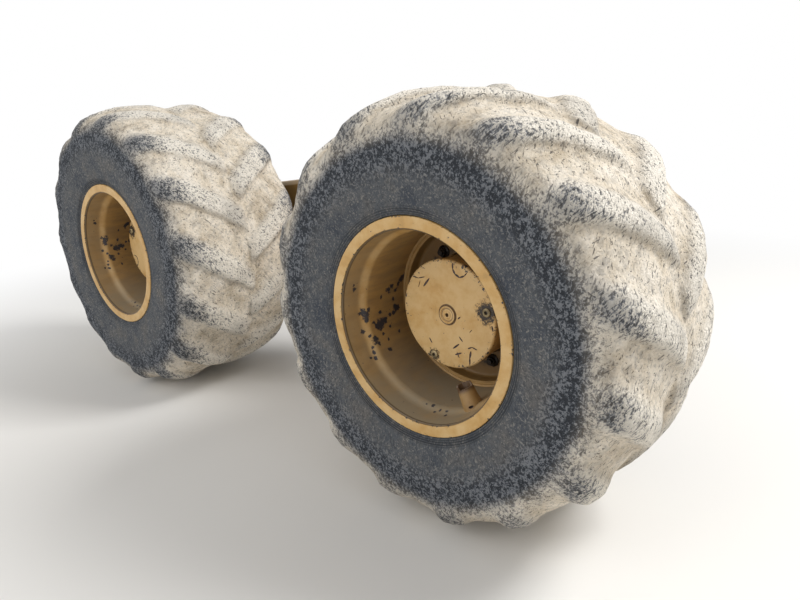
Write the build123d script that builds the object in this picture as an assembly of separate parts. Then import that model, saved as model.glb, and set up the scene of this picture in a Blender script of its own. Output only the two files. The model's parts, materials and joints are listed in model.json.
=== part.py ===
"""One side of a forwarder's bogie axle: a rocking gear case that carries two wide lugged wheels.

Millimetres. X runs forward along the machine, Y runs inboard, Z is up. The origin is the centre
of the axle flange's bolted face, on the axis that the whole bogie rocks about.
"""
import os
from math import cos, degrees, pi, radians, sin

from build123d import *

os.makedirs("parts", exist_ok=True)

# Layout of the bogie
wheel_spacing = 2040.0          # front axle to rear axle
axle_drop = 60.0                # wheel axles below the rocking axis
rim_face_offset = 1200.0        # axle flange face to the rims' outer faces

# Each wheel: name, side of the pivot along X, turn of the wheel about its axle in degrees
WHEELS = [
    ("front", 1, 0.0),
    ("rear", -1, 137.0),
]

# Tyre, 750/55-26.5
tyre_radius = 747.0             # over the lugs
tyre_width = 740.0              # over the sidewalls
tread_depth = 40.0              # worn lugs
tyre_wall = 30.0
widest_share = 0.71             # radius of the widest point, as a share of the tyre's radius
bead_width = 44.0
bead_step = 8.0                 # tyre over the rim's flange
sidewall_foot = 62.0            # flange to where the sidewall starts to bulge
inner_shoulder = 180.0          # sidewall face to the end of the flat inside the tread
lugs_per_side = 15
lug_sweep = 20.5                # degrees from a lug's shoulder to its nose in the middle
lug_foot_width = 176.0
lug_top_width = 104.0
lug_lean = 12.0                 # the feet stand back by this, so one flank is steep and one slopes
nose_gap = 26.0                 # between the two sides' noses, in the middle of the tread
# Rows of a lug, as shares: way from sidewall to middle of tread, floor's drop of the tyre's radius,
# height of the tread's depth, width of the lug's full width
LUG_ROWS = [
    (0.027, 0.142, 0.15, 1.20),
    (0.081, 0.088, 0.85, 1.14),
    (0.243, 0.040, 1.00, 1.06),
    (0.557, 0.007, 1.00, 1.00),
    (1.000, 0.000, 1.00, 0.94),
]
lug_turn = 18.5                 # degrees from the X axis to the first outer lug's shoulder

# How many flats go round each turned piece
wheel_flat_count = 32
hub_flat_count = 28
plug_flat_count = 12
flat_enough = 1.0               # cubic mm, below which four corners count as flat

# Rim, one piece, 26.5 inch
rim_width = 700.0
bead_seat_radius = 337.0
flange_height = 28.0            # over the bead seat
flange_thickness = 24.0
flange_chamfer = 7.0
seat_wall = 14.0
well_depth = 34.0               # bead seat to the inside of the well
well_wall = 12.0
seat_length = 80.0              # inside the rim, from its face to the slope into the well
slope_length = 25.0
seat_taper = 4.0                # the seat narrows by this before the slope
bead_clearance = 0.3

# Dished wheel disc, its skirt welded into the rim's well
disc_edge = 314.0               # rim face to the skirt's edge
disc_face = 362.0               # rim face to the disc's outer face
disc_thickness = 20.0
disc_skirt = 19.0               # thickness of the skirt
disc_bend = 10.0                # corner between the skirt and the disc

# Planetary hub
hub_radius = 190.0
hub_fit = 1.0                   # disc bore over the hub
hub_face = 185.0                # rim face to the outer face of the hub's cover
cover_thickness = 15.0
cover_radius = 192.0
cover_chamfer = 4.0
hub_flange_radius = 246.0
hub_flange_thickness = 28.0
hub_back_radius = 165.0
hub_back_length = 27.0
boss_radius = 31.0
boss_height = 5.0
plug_radius = 15.0
plug_height = 6.0
plug_seat = 5.0
plug_socket_radius = 7.0        # six-sided socket
# Plugs in each hub cover: name, distance from the axle, angle from the X axis
HUB_PLUGS = [("level", 162.0, 13.0), ("drain", 168.0, -111.0)]

# Valve guard, a short tapered tube standing in the rim's well
guard_angle = -61.0
guard_depth = 118.0             # rim face to its axis
guard_height = 78.0
guard_foot_radius = 38.0
guard_top_radius = 26.5
guard_bore_radius = 18.0
guard_flat_count = 14

# Hub carriers, bolted to the gear case and standing inside the rims
seal_gap = 6.0                  # between the turning hub and its carrier
spindle_radius = 90.0
spindle_length = 105.0
spindle_end_gap = 5.0
running_fit = 0.05
carrier_barrel_radius = 150.0
carrier_taper = 30.0
seal_collar_radius = 178.0
seal_collar_length = 40.0
brake_housing_radius = 204.0
brake_housing_length = 125.0
carrier_flange_radius = 236.0
carrier_flange_thickness = 28.0

# Gear case
case_thickness = 220.0
case_face = 400.0               # axle flange face to the case's outboard face
case_end_radius = 252.0
case_middle_radius = 312.0
arch_radius = 620.0             # the arches under the beam, one each side of the middle
arch_rise = 95.0
case_chamfer = 22.0
end_cover_radius = 176.0
end_cover_thickness = 18.0
end_cover_step = 10.0
centre_cover_radius = 198.0
centre_cover_rim = 34.0         # its bolted rim
centre_cover_height = 46.0
centre_cover_wall = 14.0
oil_plug_radius = 21.0
oil_plug_length = 16.0
oil_plug_place = 560.0          # from the middle of the case
oil_plug_drop = 40.0
breather_radius = 14.0
breather_length = 46.0

# Axle flange and the trunnion that the case rocks on
flange_disc_radius = 240.0
flange_disc_thickness = 36.0
flange_circle = 400.0
flange_bolts = 8
flange_hole_radius = 16.5
neck_foot_radius = 172.0
neck_radius = 150.0
trunnion_radius = 120.0
trunnion_end_gap = 8.0
thrust_gap = 6.0
bearing_gap = 4.0
bearing_ring_radius = 212.0
bearing_ring_thickness = 12.0

# Worked out from the sizes above
pitch = 360.0 / lugs_per_side
flange_radius = bead_seat_radius + flange_height
well_radius = bead_seat_radius - well_depth
casing_radius = tyre_radius - tread_depth
tyre_middle = rim_width / 2
sidewall_face = tyre_middle - tyre_width / 2
hub_back_face = disc_face + disc_thickness + hub_flange_thickness + hub_back_length
carrier_face = hub_back_face + seal_gap
case_outer_face = rim_face_offset - case_face
case_inboard_face = case_face - case_thickness
neck_end = case_inboard_face - bearing_ring_thickness - thrust_gap


def write(solid, node):
    """One file for each piece."""
    solid.label = node
    export_step(solid, f"parts/{node}.step")


def along_y(radius, start, end, x=0, z=0):
    """A round pin or cutter along Y, from start to end."""
    return Pos(x, (start + end) / 2, z) * Rot(90, 0, 0) * Cylinder(radius, end - start)


def polar(along, radius, angle):
    return (radius * cos(radians(angle)), along, radius * sin(radians(angle)))


def band(rings):
    """Flat facets from each ring of points to the next: four corners, or two triangles if bent."""
    faces = []
    for near, far in zip(rings, rings[1:]):
        for i in range(len(near)):
            j = (i + 1) % len(near)
            corners = [Vector(*near[i]), Vector(*near[j]), Vector(*far[j]), Vector(*far[i])]
            sides = [corner - corners[0] for corner in corners[1:]]
            if abs(sides[0].cross(sides[1]).dot(sides[2])) < flat_enough:
                faces.append(Face(Wire.make_polygon(corners, close=True)))
            else:
                for three in ((0, 1, 2), (0, 2, 3)):
                    faces.append(Face(Wire.make_polygon([corners[k] for k in three], close=True)))
    return faces


def turned(points, flat_count=hub_flat_count):
    """A turned piece with flats round it, from its half section: (distance along Y, radius)."""
    rings = [[polar(along, radius, i * 360 / flat_count) for i in range(flat_count)]
             for along, radius in points if radius > 0]
    if len(rings) == len(points):
        return Solid(Shell(band(rings + rings[:1])))
    ends = [Face(Wire.make_polygon(ring, close=True)) for ring in (rings[0], rings[-1])]
    return Solid(Shell(band(rings) + ends))


def tread_ring(along, radius, rise, top_half, foot_half, lean, lead, inboard):
    """Four points for each lug of one side of the tyre: foot, top, top, foot."""
    points = []
    for number in range(lugs_per_side):
        centre = lug_turn + (number + inboard / 2) * pitch - lead
        points += [
            polar(along, radius, centre + lean - foot_half),
            polar(along, radius + rise, centre - top_half),
            polar(along, radius + rise, centre + top_half),
            polar(along, radius, centre + lean + foot_half),
        ]
    # the inboard lugs stand half a pitch on, so their points pair with the outboard ones
    return points[-2 * inboard:] + points[:-2 * inboard] if inboard else points


def make_tyre():
    seat = (bead_seat_radius + bead_clearance) / cos(pi / (4 * lugs_per_side))
    heel = flange_thickness + bead_clearance
    even_top, even_foot = pitch / 8, 3 * pitch / 8
    halves = []
    for inboard in (0, 1):
        plain = [
            (heel, seat),
            (heel, flange_radius + bead_step),
            (sidewall_face + bead_step, flange_radius + sidewall_foot),
            (sidewall_face, widest_share * tyre_radius),
        ]
        sections = [(along, radius, 0, even_top, even_foot, 0, 0) for along, radius in plain]
        for way, drop, height, width in LUG_ROWS:
            sections.append((
                sidewall_face + way * (tyre_width - nose_gap) / 2,
                casing_radius - drop * tyre_radius,
                height * tread_depth,
                degrees(width * lug_top_width / 2 / tyre_radius),
                degrees(width * lug_foot_width / 2 / casing_radius),
                degrees(lug_lean / casing_radius),
                lug_sweep * way,
            ))
        rings = []
        for along, *rest in sections:
            place = 2 * tyre_middle - along if inboard else along
            rings.append(tread_ring(place, *rest, inboard))
        halves.append(rings)
    # the inside, from the inboard bead back to the outboard one
    inside = [(heel + bead_width, seat), (sidewall_face + tyre_wall, widest_share * tyre_radius),
              (sidewall_face + inner_shoulder, casing_radius - tyre_wall)]
    hollow = [tread_ring(2 * tyre_middle - along, radius, 0, even_top, even_foot, 0, 0, 0)
              for along, radius in inside]
    hollow += [tread_ring(along, radius, 0, even_top, even_foot, 0, 0, 0)
               for along, radius in reversed(inside)]
    rings = halves[0] + halves[1][::-1] + hollow
    return Solid(Shell(band(rings + rings[:1])))


def make_rim():
    slope_end = seat_length + slope_length
    front = [
        (slope_end, well_radius),
        (seat_length, bead_seat_radius - seat_wall - seat_taper),
        (0, bead_seat_radius - seat_wall),
        (0, flange_radius - flange_chamfer),
        (flange_chamfer, flange_radius),
        (flange_thickness, flange_radius),
        (flange_thickness, bead_seat_radius),
        (seat_length + well_wall / 2, bead_seat_radius - seat_taper),
        (slope_end + well_wall, well_radius + well_wall),
    ]
    back = [(rim_width - along, radius) for along, radius in reversed(front)]
    return turned(front + back, wheel_flat_count)


def make_disc():
    """A flat ring with a skirt round it."""
    bore = hub_radius + hub_fit
    back = disc_face + disc_thickness
    skirt = well_radius - disc_skirt
    return turned([
        (back, bore),
        (disc_face, bore),
        (disc_face, skirt - disc_bend),
        (disc_face - disc_bend, skirt),
        (disc_edge, skirt),
        (disc_edge, well_radius),
        (back, well_radius),
    ], wheel_flat_count)


def make_hub():
    back = disc_face + disc_thickness
    flange_back = back + hub_flange_thickness
    body = turned([
        (hub_face + cover_thickness, 0),
        (hub_face + cover_thickness, hub_radius),
        (back, hub_radius),
        (back, hub_flange_radius),
        (flange_back, hub_flange_radius),
        (flange_back, hub_back_radius),
        (hub_back_face, hub_back_radius),
        (hub_back_face, 0),
    ], wheel_flat_count)
    return body - along_y(spindle_radius + running_fit, hub_back_face - spindle_length, hub_back_face + 1)


def make_cover():
    cover = turned([
        (hub_face + cover_thickness, 0),
        (hub_face - boss_height, 0),
        (hub_face - boss_height, boss_radius),
        (hub_face, boss_radius + boss_height),
        (hub_face, cover_radius - cover_chamfer),
        (hub_face + cover_chamfer, cover_radius),
        (hub_face + cover_thickness, cover_radius),
    ], wheel_flat_count)
    for _, distance, angle in HUB_PLUGS:
        cover -= plug_blank(plug_seat, distance, angle)
    return cover


def plug_blank(depth, distance, angle):
    """A plug's round, from the top of its head down to depth below the cover's face."""
    x, _, z = polar(0, distance, angle)
    points = [(hub_face - plug_height, 0), (hub_face - plug_height, plug_radius),
              (hub_face + depth, plug_radius), (hub_face + depth, 0)]
    return Pos(x, 0, z) * turned(points, plug_flat_count)


def make_hub_plug(distance, angle):
    x, _, z = polar(0, distance, angle)
    socket = Pos(x, 0, z) * turned([
        (hub_face - 2 * plug_height, 0), (hub_face - 2 * plug_height, plug_socket_radius),
        (hub_face, plug_socket_radius), (hub_face, 0)], 6)
    return plug_blank(plug_seat, distance, angle) - socket


def make_guard(rim):
    """A tapered tube that points at the axle, its foot cut to the rim's well."""
    foot = well_radius + well_wall + guard_foot_radius
    top = well_radius - guard_height
    sleeve = turned([(foot, guard_bore_radius), (foot, guard_foot_radius),
                     (top, guard_top_radius), (top, guard_bore_radius)], guard_flat_count)
    # stand the sleeve up from Y to the axle's radius at the guard's angle
    sleeve = Pos(0, guard_depth, 0) * Rot(0, -guard_angle, 0) * Rot(0, 0, -90) * sleeve
    return max((sleeve - rim).solids(), key=lambda piece: piece.volume)


def make_carrier():
    """The fixed housing that a hub turns on: spindle, seal collar, barrel, brake housing, flange."""
    collar_end = carrier_face + seal_collar_length
    flange_start = case_outer_face - carrier_flange_thickness
    brake_start = flange_start - brake_housing_length
    housing = turned([
        (carrier_face, 0),
        (carrier_face, seal_collar_radius),
        (collar_end, seal_collar_radius),
        (collar_end + carrier_taper, carrier_barrel_radius),
        (brake_start - carrier_taper, carrier_barrel_radius),
        (brake_start, brake_housing_radius),
        (flange_start, brake_housing_radius),
        (flange_start, carrier_flange_radius),
        (case_outer_face, carrier_flange_radius),
        (case_outer_face, 0),
    ])
    tip = hub_back_face - spindle_length + spindle_end_gap
    return housing + along_y(spindle_radius, tip, carrier_face)


def make_case():
    """The gear case: round ends at the axles, a larger round middle, an arch on each side."""
    half = wheel_spacing / 2
    ends = [Pos(side * half, axle_drop) * Circle(case_end_radius) for side in (-1, 1)]
    outline = make_hull((ends[0] + ends[1] + Circle(case_middle_radius)).edges())
    # this plane's Y axis points down, so the underside is where Y is largest
    arch_at = half / 2
    underside = (case_middle_radius + case_end_radius + axle_drop) / 2
    for side in (-1, 1):
        centre = Pos(side * arch_at, underside - arch_rise + arch_radius)
        outline -= centre * Circle(arch_radius)
    plane = Plane(origin=(0, -case_face, 0), x_dir=(1, 0, 0), z_dir=(0, 1, 0))
    case = extrude(plane * outline, case_thickness)
    case = chamfer(case.faces().filter_by(Axis.Y).edges(), case_chamfer)
    return case - along_y(trunnion_radius + running_fit, -case_face - 1, -case_inboard_face + 1)


def make_end_cover(x):
    """A stepped plate over the axle's last gear, on the case's inboard face."""
    seat = -case_inboard_face
    step = seat + end_cover_thickness
    top = step + end_cover_step
    plate = turned([(seat, 0), (seat, end_cover_radius), (step, end_cover_radius),
                    (top, 0.6 * end_cover_radius), (top, 0)])
    return Pos(x, 0, -axle_drop) * plate


def make_centre_cover():
    """A domed cap over the trunnion's end, on the case's outboard face."""
    seat = -case_face
    inner = centre_cover_radius - centre_cover_rim
    return turned([
        (seat, 0),
        (seat, centre_cover_radius),
        (seat - centre_cover_wall, centre_cover_radius),
        (seat - centre_cover_wall, inner),
        (seat - centre_cover_height, 0.7 * inner),
        (seat - centre_cover_height, 0),
    ])


def make_bearing_ring():
    seat = -case_inboard_face
    return turned([
        (seat, trunnion_radius + bearing_gap),
        (seat, bearing_ring_radius),
        (seat + bearing_ring_thickness, bearing_ring_radius),
        (seat + bearing_ring_thickness, trunnion_radius + bearing_gap),
    ])


def make_axle_flange():
    """The axle's end: a bolted flange on a tapered neck."""
    plate = turned([
        (0, 0),
        (0, flange_disc_radius),
        (-flange_disc_thickness, flange_disc_radius),
        (-flange_disc_thickness, neck_foot_radius),
        (-neck_end, neck_radius),
        (-neck_end, 0),
    ])
    for number in range(flange_bolts):
        x, _, z = polar(0, flange_circle / 2, (number + 0.5) * 360 / flange_bolts)
        plate -= along_y(flange_hole_radius, -flange_disc_thickness - 1, 1, x, z)
    return plate


def make_trunnion():
    return along_y(trunnion_radius, -case_face + trunnion_end_gap, -neck_end)


def make_breather(x):
    """A six-sided breather cap on top of the case."""
    foot = case_middle_radius
    prism = extrude(RegularPolygon(breather_radius, 6), breather_length)
    return Pos(x, -(case_face + case_inboard_face) / 2, foot) * prism


def make_oil_plug(x, drop):
    """A six-sided plug on the case's outboard face."""
    head = turned([(-case_face - oil_plug_length, 0), (-case_face - oil_plug_length, oil_plug_radius),
                   (-case_face, oil_plug_radius), (-case_face, 0)], 6)
    return Pos(x, 0, -drop) * head


rim = make_rim()
wheel_pieces = {
    "tyre": make_tyre(),
    "rim": rim,
    "wheel_disc": make_disc(),
    "hub": make_hub(),
    "hub_cover": make_cover(),
    "valve_guard": make_guard(rim),
}
for name, distance, angle in HUB_PLUGS:
    wheel_pieces[f"hub_{name}_plug"] = make_hub_plug(distance, angle)
carrier = make_carrier()

for end, side, wheel_turn in WHEELS:
    axle_x = side * wheel_spacing / 2
    axle = Pos(axle_x, -rim_face_offset, -axle_drop)
    for name, piece in wheel_pieces.items():
        write(axle * Rot(0, -wheel_turn, 0) * piece, f"{name}_{end}")
    write(axle * carrier, f"hub_carrier_{end}")
    write(make_end_cover(axle_x), f"end_cover_{end}")
    write(make_oil_plug(side * oil_plug_place, oil_plug_drop), f"oil_plug_{end}")

write(make_case(), "gear_case")
write(make_centre_cover(), "centre_cover")
write(make_bearing_ring(), "bearing_ring")
write(make_breather(0), "breather")
write(make_axle_flange(), "axle_flange")
write(make_trunnion(), "trunnion")
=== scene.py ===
"""Looks of a forwarder's bogie: two wide lugged wheels on a rocking gear case, round the packed frame.

Metres. X runs forward along the machine, Y runs inboard, Z is up. A wheel's pieces are modelled in
the wheel's own frame, where Y is the axle and zero is the rim's outer face, and are then put in place.
"""

import json
import math
from functools import partial

import bmesh
import bpy
import numpy as np
from bpy.props import FloatProperty, FloatVectorProperty, IntProperty, PointerProperty
from mathutils import Matrix, Vector, noise

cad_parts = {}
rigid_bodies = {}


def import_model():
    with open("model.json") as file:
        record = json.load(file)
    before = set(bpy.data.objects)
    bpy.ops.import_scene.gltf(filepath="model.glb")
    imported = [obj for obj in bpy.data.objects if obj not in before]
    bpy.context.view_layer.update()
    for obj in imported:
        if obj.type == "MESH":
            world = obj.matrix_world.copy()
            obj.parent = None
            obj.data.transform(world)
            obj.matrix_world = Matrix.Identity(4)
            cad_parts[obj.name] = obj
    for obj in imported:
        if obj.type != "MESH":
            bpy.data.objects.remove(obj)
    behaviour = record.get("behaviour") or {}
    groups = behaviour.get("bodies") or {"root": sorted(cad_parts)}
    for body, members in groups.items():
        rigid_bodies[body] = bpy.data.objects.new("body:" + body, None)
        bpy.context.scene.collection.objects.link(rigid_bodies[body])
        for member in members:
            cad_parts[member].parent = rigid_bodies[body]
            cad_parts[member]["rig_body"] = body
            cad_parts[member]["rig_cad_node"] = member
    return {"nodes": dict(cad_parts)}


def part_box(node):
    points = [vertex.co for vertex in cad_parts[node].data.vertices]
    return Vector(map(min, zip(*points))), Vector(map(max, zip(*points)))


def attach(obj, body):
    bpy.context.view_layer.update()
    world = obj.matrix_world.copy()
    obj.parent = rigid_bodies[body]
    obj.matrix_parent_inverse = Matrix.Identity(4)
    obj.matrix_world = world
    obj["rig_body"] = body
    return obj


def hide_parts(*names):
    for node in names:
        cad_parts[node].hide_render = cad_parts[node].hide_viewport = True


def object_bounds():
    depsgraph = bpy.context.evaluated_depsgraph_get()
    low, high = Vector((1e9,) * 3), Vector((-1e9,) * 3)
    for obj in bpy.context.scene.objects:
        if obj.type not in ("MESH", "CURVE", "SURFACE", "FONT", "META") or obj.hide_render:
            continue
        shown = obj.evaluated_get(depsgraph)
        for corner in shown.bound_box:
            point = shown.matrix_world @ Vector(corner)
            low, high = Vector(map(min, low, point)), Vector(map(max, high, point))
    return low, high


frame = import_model()
cad_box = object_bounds()

bl_info = {
    "name": "Forwarder bogie",
    "version": (1, 0, 0),
    "blender": (4, 5, 0),
    "location": "View3D > Sidebar > Bogie",
    "description": "Dresses the frame of a forwarder's bogie with worn tyres, painted rims and hubs",
    "category": "Add Mesh",
}

# Turn of each wheel about its axle
WHEEL_TURN = {"front": 0.0, "rear": math.radians(137)}
WHEEL_SEED = {"front": 3, "rear": 11}
# How far the grooves between the lugs are worn away and filled, as a share of their depth
WHEEL_WEAR = {"front": 0.20, "rear": 0.45}


def linear(code):
    """An sRGB hex colour as linear red, green, blue and alpha."""
    channels = [int(code[i:i + 2], 16) / 255 for i in (1, 3, 5)]
    return tuple(c / 12.92 if c <= 0.04045 else ((c + 0.055) / 1.055) ** 2.4 for c in channels) + (1.0,)


def colour_property(name, code, description):
    return FloatVectorProperty(
        name=name, description=description, subtype="COLOR", size=4, min=0, max=1, default=linear(code))


def length_property(name, default, description):
    return FloatProperty(name=name, description=description, unit="LENGTH", default=default, min=0)


class BogieTyreSizes(bpy.types.PropertyGroup):
    """Sizes of the tyres"""
    wall: length_property("Wall", 0.030, "Thickness of the casing")
    tread_depth: length_property("Tread depth", 0.040, "Height of the worn lugs over the casing")
    lugs: IntProperty(name="Lugs", description="Lugs on each side of a tyre", default=15, min=6, max=40)
    lug_top: length_property("Lug top", 0.104, "Width of a lug's top")
    lug_foot: length_property("Lug foot", 0.176, "Width of a lug's foot")
    lug_sweep: FloatProperty(
        name="Lug sweep", description="How far a lug swings round from shoulder to nose", subtype="ANGLE",
        default=math.radians(20.5))
    lug_turn: FloatProperty(
        name="Lug turn", description="Place of the first outer lug's shoulder", subtype="ANGLE",
        default=math.radians(18.5))
    steps: IntProperty(name="Steps", description="Steps round a tyre", default=540, min=60, max=720)


class BogieWheelSizes(bpy.types.PropertyGroup):
    """Sizes of the rims, discs and hubs"""
    bead_seat: length_property("Bead seat", 0.337, "Radius of the bead seat")
    flange_height: length_property("Flange height", 0.028, "Rim flange over the bead seat")
    flange_width: length_property("Flange thickness", 0.024, "Thickness of the rim's flange")
    well_depth: length_property("Well depth", 0.034, "Bead seat to the inside of the well")
    disc_edge: length_property("Skirt place", 0.314, "Rim's face to the edge of the disc's skirt")
    disc_face: length_property("Disc place", 0.362, "Rim's face to the disc's outer face")
    disc_thickness: length_property("Disc thickness", 0.020, "Thickness of the wheel disc")
    hub_radius: length_property("Hub radius", 0.190, "Radius of the hub's drum")
    hub_face: length_property("Hub face", 0.185, "Rim's face to the hub cover's face")
    nuts: IntProperty(name="Wheel nuts", description="Nuts that hold a wheel", default=16, min=4, max=32)
    nut_circle: length_property("Nut circle", 0.2205, "Radius of the circle of wheel nuts")
    nut_width: length_property("Nut width", 0.032, "Wheel nut across its flats")


class BogieCaseSizes(bpy.types.PropertyGroup):
    """Sizes of the gear case's fastenings"""
    cover_bolts: IntProperty(name="Cover bolts", description="Bolts round each cover", default=14, min=4, max=40)
    bolt_width: length_property("Bolt width", 0.019, "Cover bolt across its flats")
    carrier_bolts: IntProperty(
        name="Carrier bolts", description="Bolts of a hub carrier", default=20, min=4, max=40)
    edge: length_property("Edge", 0.006, "Rounding of the case's cast edges")


class BogieFinish(bpy.types.PropertyGroup):
    """Colours of the finishes"""
    # tinted blue-grey and a little dark, as painted shade
    rubber: colour_property("Rubber", "#54575b", "Worn rubber")
    # dried mud brightened to its sunlit tone: pale mud and painted light
    rubber_cut: colour_property("Cut rubber", "#33363b", "Torn and cut rubber")
    # pale fibres brightened to their sunlit tone: worn rubber and painted light
    rubber_flake: colour_property("Flaked rubber", "#e9e3d8", "Bleached fibres of rubber")
    dry_mud: colour_property("Dry mud", "#ddd1be", "Sandy mud dried on the tread")
    enamel: colour_property("Enamel", "#bf9759", "Enamel of rims and hubs")
    enamel_worn: colour_property("Faded enamel", "#ccab76", "Enamel rubbed pale")
    case_enamel: colour_property("Case enamel", "#a98448", "Enamel of the gear case")
    primer: colour_property("Bare metal", "#363337", "Dark metal where the enamel has chipped")
    grime: colour_property("Grime", "#2b2117", "Oily dirt")
    rust: colour_property("Rust", "#5d4630", "Brown stain")
    dust: colour_property("Dust", "#8f836e", "Dust that lies on the rims")
    steel: colour_property("Steel", "#8b8781", "Turned steel")
    # brown for stains, and for the painted shade round the hub cover's boss
    brass: colour_property("Brass", "#a8894f", "Valve")


class BogieStage(bpy.types.PropertyGroup):
    """Floor, lamps and camera"""
    floor: colour_property("Floor", "#e4e2de", "Pale floor")
    key: FloatProperty(name="Key light", description="Key light", unit="POWER", default=500, min=0)
    fill: FloatProperty(
        name="Fill light", description="Soft light from the front", unit="POWER", default=165, min=0)
    sky: FloatProperty(name="Sky", description="Strength of the light all round", default=0.5, min=0)
    lens: FloatProperty(name="Lens", description="Camera lens", subtype="DISTANCE_CAMERA", default=28.31)


PROPERTY_GROUPS = {
    "bogie_tyre": BogieTyreSizes,
    "bogie_wheel": BogieWheelSizes,
    "bogie_case": BogieCaseSizes,
    "bogie_finish": BogieFinish,
    "bogie_stage": BogieStage,
}


# Places in the frame

def face_middle(node, inboard=False):
    """Middle of a round node, at its outboard or its inboard face."""
    low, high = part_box(node)
    return Vector(((low.x + high.x) / 2, (high if inboard else low).y, (low.z + high.z) / 2))


def axle_point(end):
    """Where a wheel's axle crosses its rim's outer face."""
    return face_middle(f"rim_{end}")


def axle_place(end):
    """From a wheel's own frame to the row's, before the wheel is turned."""
    return Matrix.Translation(axle_point(end))


def wheel_place(end):
    """From a wheel's own frame to the row's."""
    return axle_place(end) @ Matrix.Rotation(-WHEEL_TURN[end], 4, "Y")


def around(along, radius, angle):
    return Vector((radius * math.cos(angle), along, radius * math.sin(angle)))


# Modelling

def deselect_all():
    if bpy.context.object and bpy.context.object.mode != "OBJECT":
        bpy.ops.object.mode_set(mode="OBJECT")
    bpy.ops.object.select_all(action="DESELECT")


def choose(piece):
    deselect_all()
    piece.select_set(True)
    bpy.context.view_layer.objects.active = piece


def select_where(test):
    """In edit mode, selects just the vertices that pass the test."""
    bpy.ops.mesh.select_all(action="DESELECT")
    mesh = bpy.context.object.data
    edit = bmesh.from_edit_mesh(mesh)
    for vertex in edit.verts:
        vertex.select = test(vertex.co)
    edit.select_flush_mode()
    bmesh.update_edit_mesh(mesh)


def turned(name, outline, steps=144, smooth=30):
    """Extrudes an outline point by point, rounds its corners, and spins it round the Y axis.

    Each row of the outline is (distance along Y, radius, rounding of that corner).
    """
    deselect_all()
    bpy.ops.mesh.primitive_plane_add(size=0.01)
    piece = bpy.context.object
    piece.name = name
    bpy.ops.object.mode_set(mode="EDIT")
    bpy.ops.mesh.merge(type="CENTER")
    corners = [Vector((radius, along, 0)) for along, radius, _ in outline]
    bpy.ops.transform.translate(value=corners[0])
    on_axis = corners[0].x == 0 and corners[-1].x == 0
    for start, finish in zip(corners, corners[1:] if on_axis else corners[1:] + corners[:1]):
        bpy.ops.mesh.extrude_vertices_move(TRANSFORM_OT_translate={"value": finish - start})
    bpy.ops.mesh.select_all(action="SELECT")
    bpy.ops.mesh.remove_doubles(threshold=1e-6)
    for rounding in sorted({row[2] for row in outline if row[2]}):
        wanted = [corner for corner, row in zip(corners, outline) if row[2] == rounding]
        select_where(lambda place: any((place - corner).length < 1e-6 for corner in wanted))
        bpy.ops.mesh.bevel(offset=rounding, segments=4, affect="VERTICES")
    bpy.ops.mesh.select_all(action="SELECT")
    bpy.ops.mesh.spin(steps=steps, angle=2 * math.pi, center=(0, 0, 0), axis=(0, 1, 0))
    close_surface()
    return smoothed(piece, smooth)


def smoothed(piece, degrees=30):
    """Shades a piece smooth, except over edges sharper than the angle."""
    choose(piece)
    bpy.ops.object.shade_smooth_by_angle(angle=math.radians(degrees))
    return piece


def close_surface():
    """Merges doubled vertices, turns every face outwards and leaves edit mode."""
    bpy.ops.mesh.select_all(action="SELECT")
    bpy.ops.mesh.remove_doubles(threshold=1e-5)
    bpy.ops.mesh.normals_make_consistent(inside=False)
    bpy.ops.object.mode_set(mode="OBJECT")


def cut(piece, cutter, operation="DIFFERENCE", overlapping=False):
    """Applies a boolean and removes the cutter. The cut faces take the cutter's material."""
    choose(piece)
    modifier = piece.modifiers.new("Cut", "BOOLEAN")
    modifier.operation = operation
    modifier.object = cutter
    modifier.solver = "EXACT"
    modifier.use_self = overlapping
    modifier.material_mode = "TRANSFER"
    bpy.ops.object.modifier_apply(modifier=modifier.name)
    bpy.data.objects.remove(cutter)
    return piece


def six_sided(piece, across):
    """Cuts six flats on a turned blank, which leaves its chamfer as an arc on each flat."""
    choose(piece)
    bpy.ops.object.mode_set(mode="EDIT")
    for number in range(6):
        facing = around(0, 1, math.radians(60 * number + 30))
        bpy.ops.mesh.select_all(action="SELECT")
        bpy.ops.mesh.bisect(plane_co=facing * across / 2, plane_no=facing, clear_outer=True, use_fill=True)
    close_surface()
    return smoothed(piece)


def joined(name, pieces):
    deselect_all()
    for piece in pieces:
        piece.select_set(True)
    bpy.context.view_layer.objects.active = pieces[0]
    bpy.ops.object.join()
    pieces[0].name = name
    return pieces[0]


def copied(piece, place, name=None):
    """A copy with its own mesh, moved in the mesh."""
    copy = piece.copy()
    copy.data = piece.data.copy()
    copy.data.transform(place)
    bpy.context.collection.objects.link(copy)
    if name:
        copy.name = name
    return copy


def ring_of(name, piece, count, radius, start=0.0, centre=Vector()):
    """Copies of a piece on a circle round the Y axis, joined into one. The piece itself is used up."""
    copies = []
    for number in range(count):
        place = around(0, radius, start + 2 * math.pi * number / count) + centre
        copies.append(copied(piece, Matrix.Translation(place)))
    bpy.data.objects.remove(piece)
    return joined(name, copies)


def hex_bolt(across, height):
    """A bolt's head on its washer, whose seat is at zero, with its top towards -Y."""
    corner = across / math.sqrt(3)
    washer = 0.25 * height
    head = six_sided(turned("head", [
        (0, 0, 0), (0, corner, 0), (-height + 0.14 * across, corner, 0), (-height, 0.47 * across, 0),
        (-height, 0, 0)], steps=24), across)
    ring = turned("washer", [
        (0, 0, 0), (0, 0.66 * across, 0), (-washer, 0.66 * across, 0.1 * washer), (-washer, 0, 0)], steps=24)
    return joined("bolt", [head, ring])


def fit(piece, body, slot, material, *nodes):
    """Gives a finished piece its main material and the body it rides on, and hides the nodes that it stands for.
    """
    slots = piece.data.materials
    if not slots:
        slots.append(material)
    for number, known in enumerate(slots):
        if number == 0 or known is None:
            slots[number] = material
    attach(piece, body)
    if nodes:
        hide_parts(*nodes)


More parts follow.
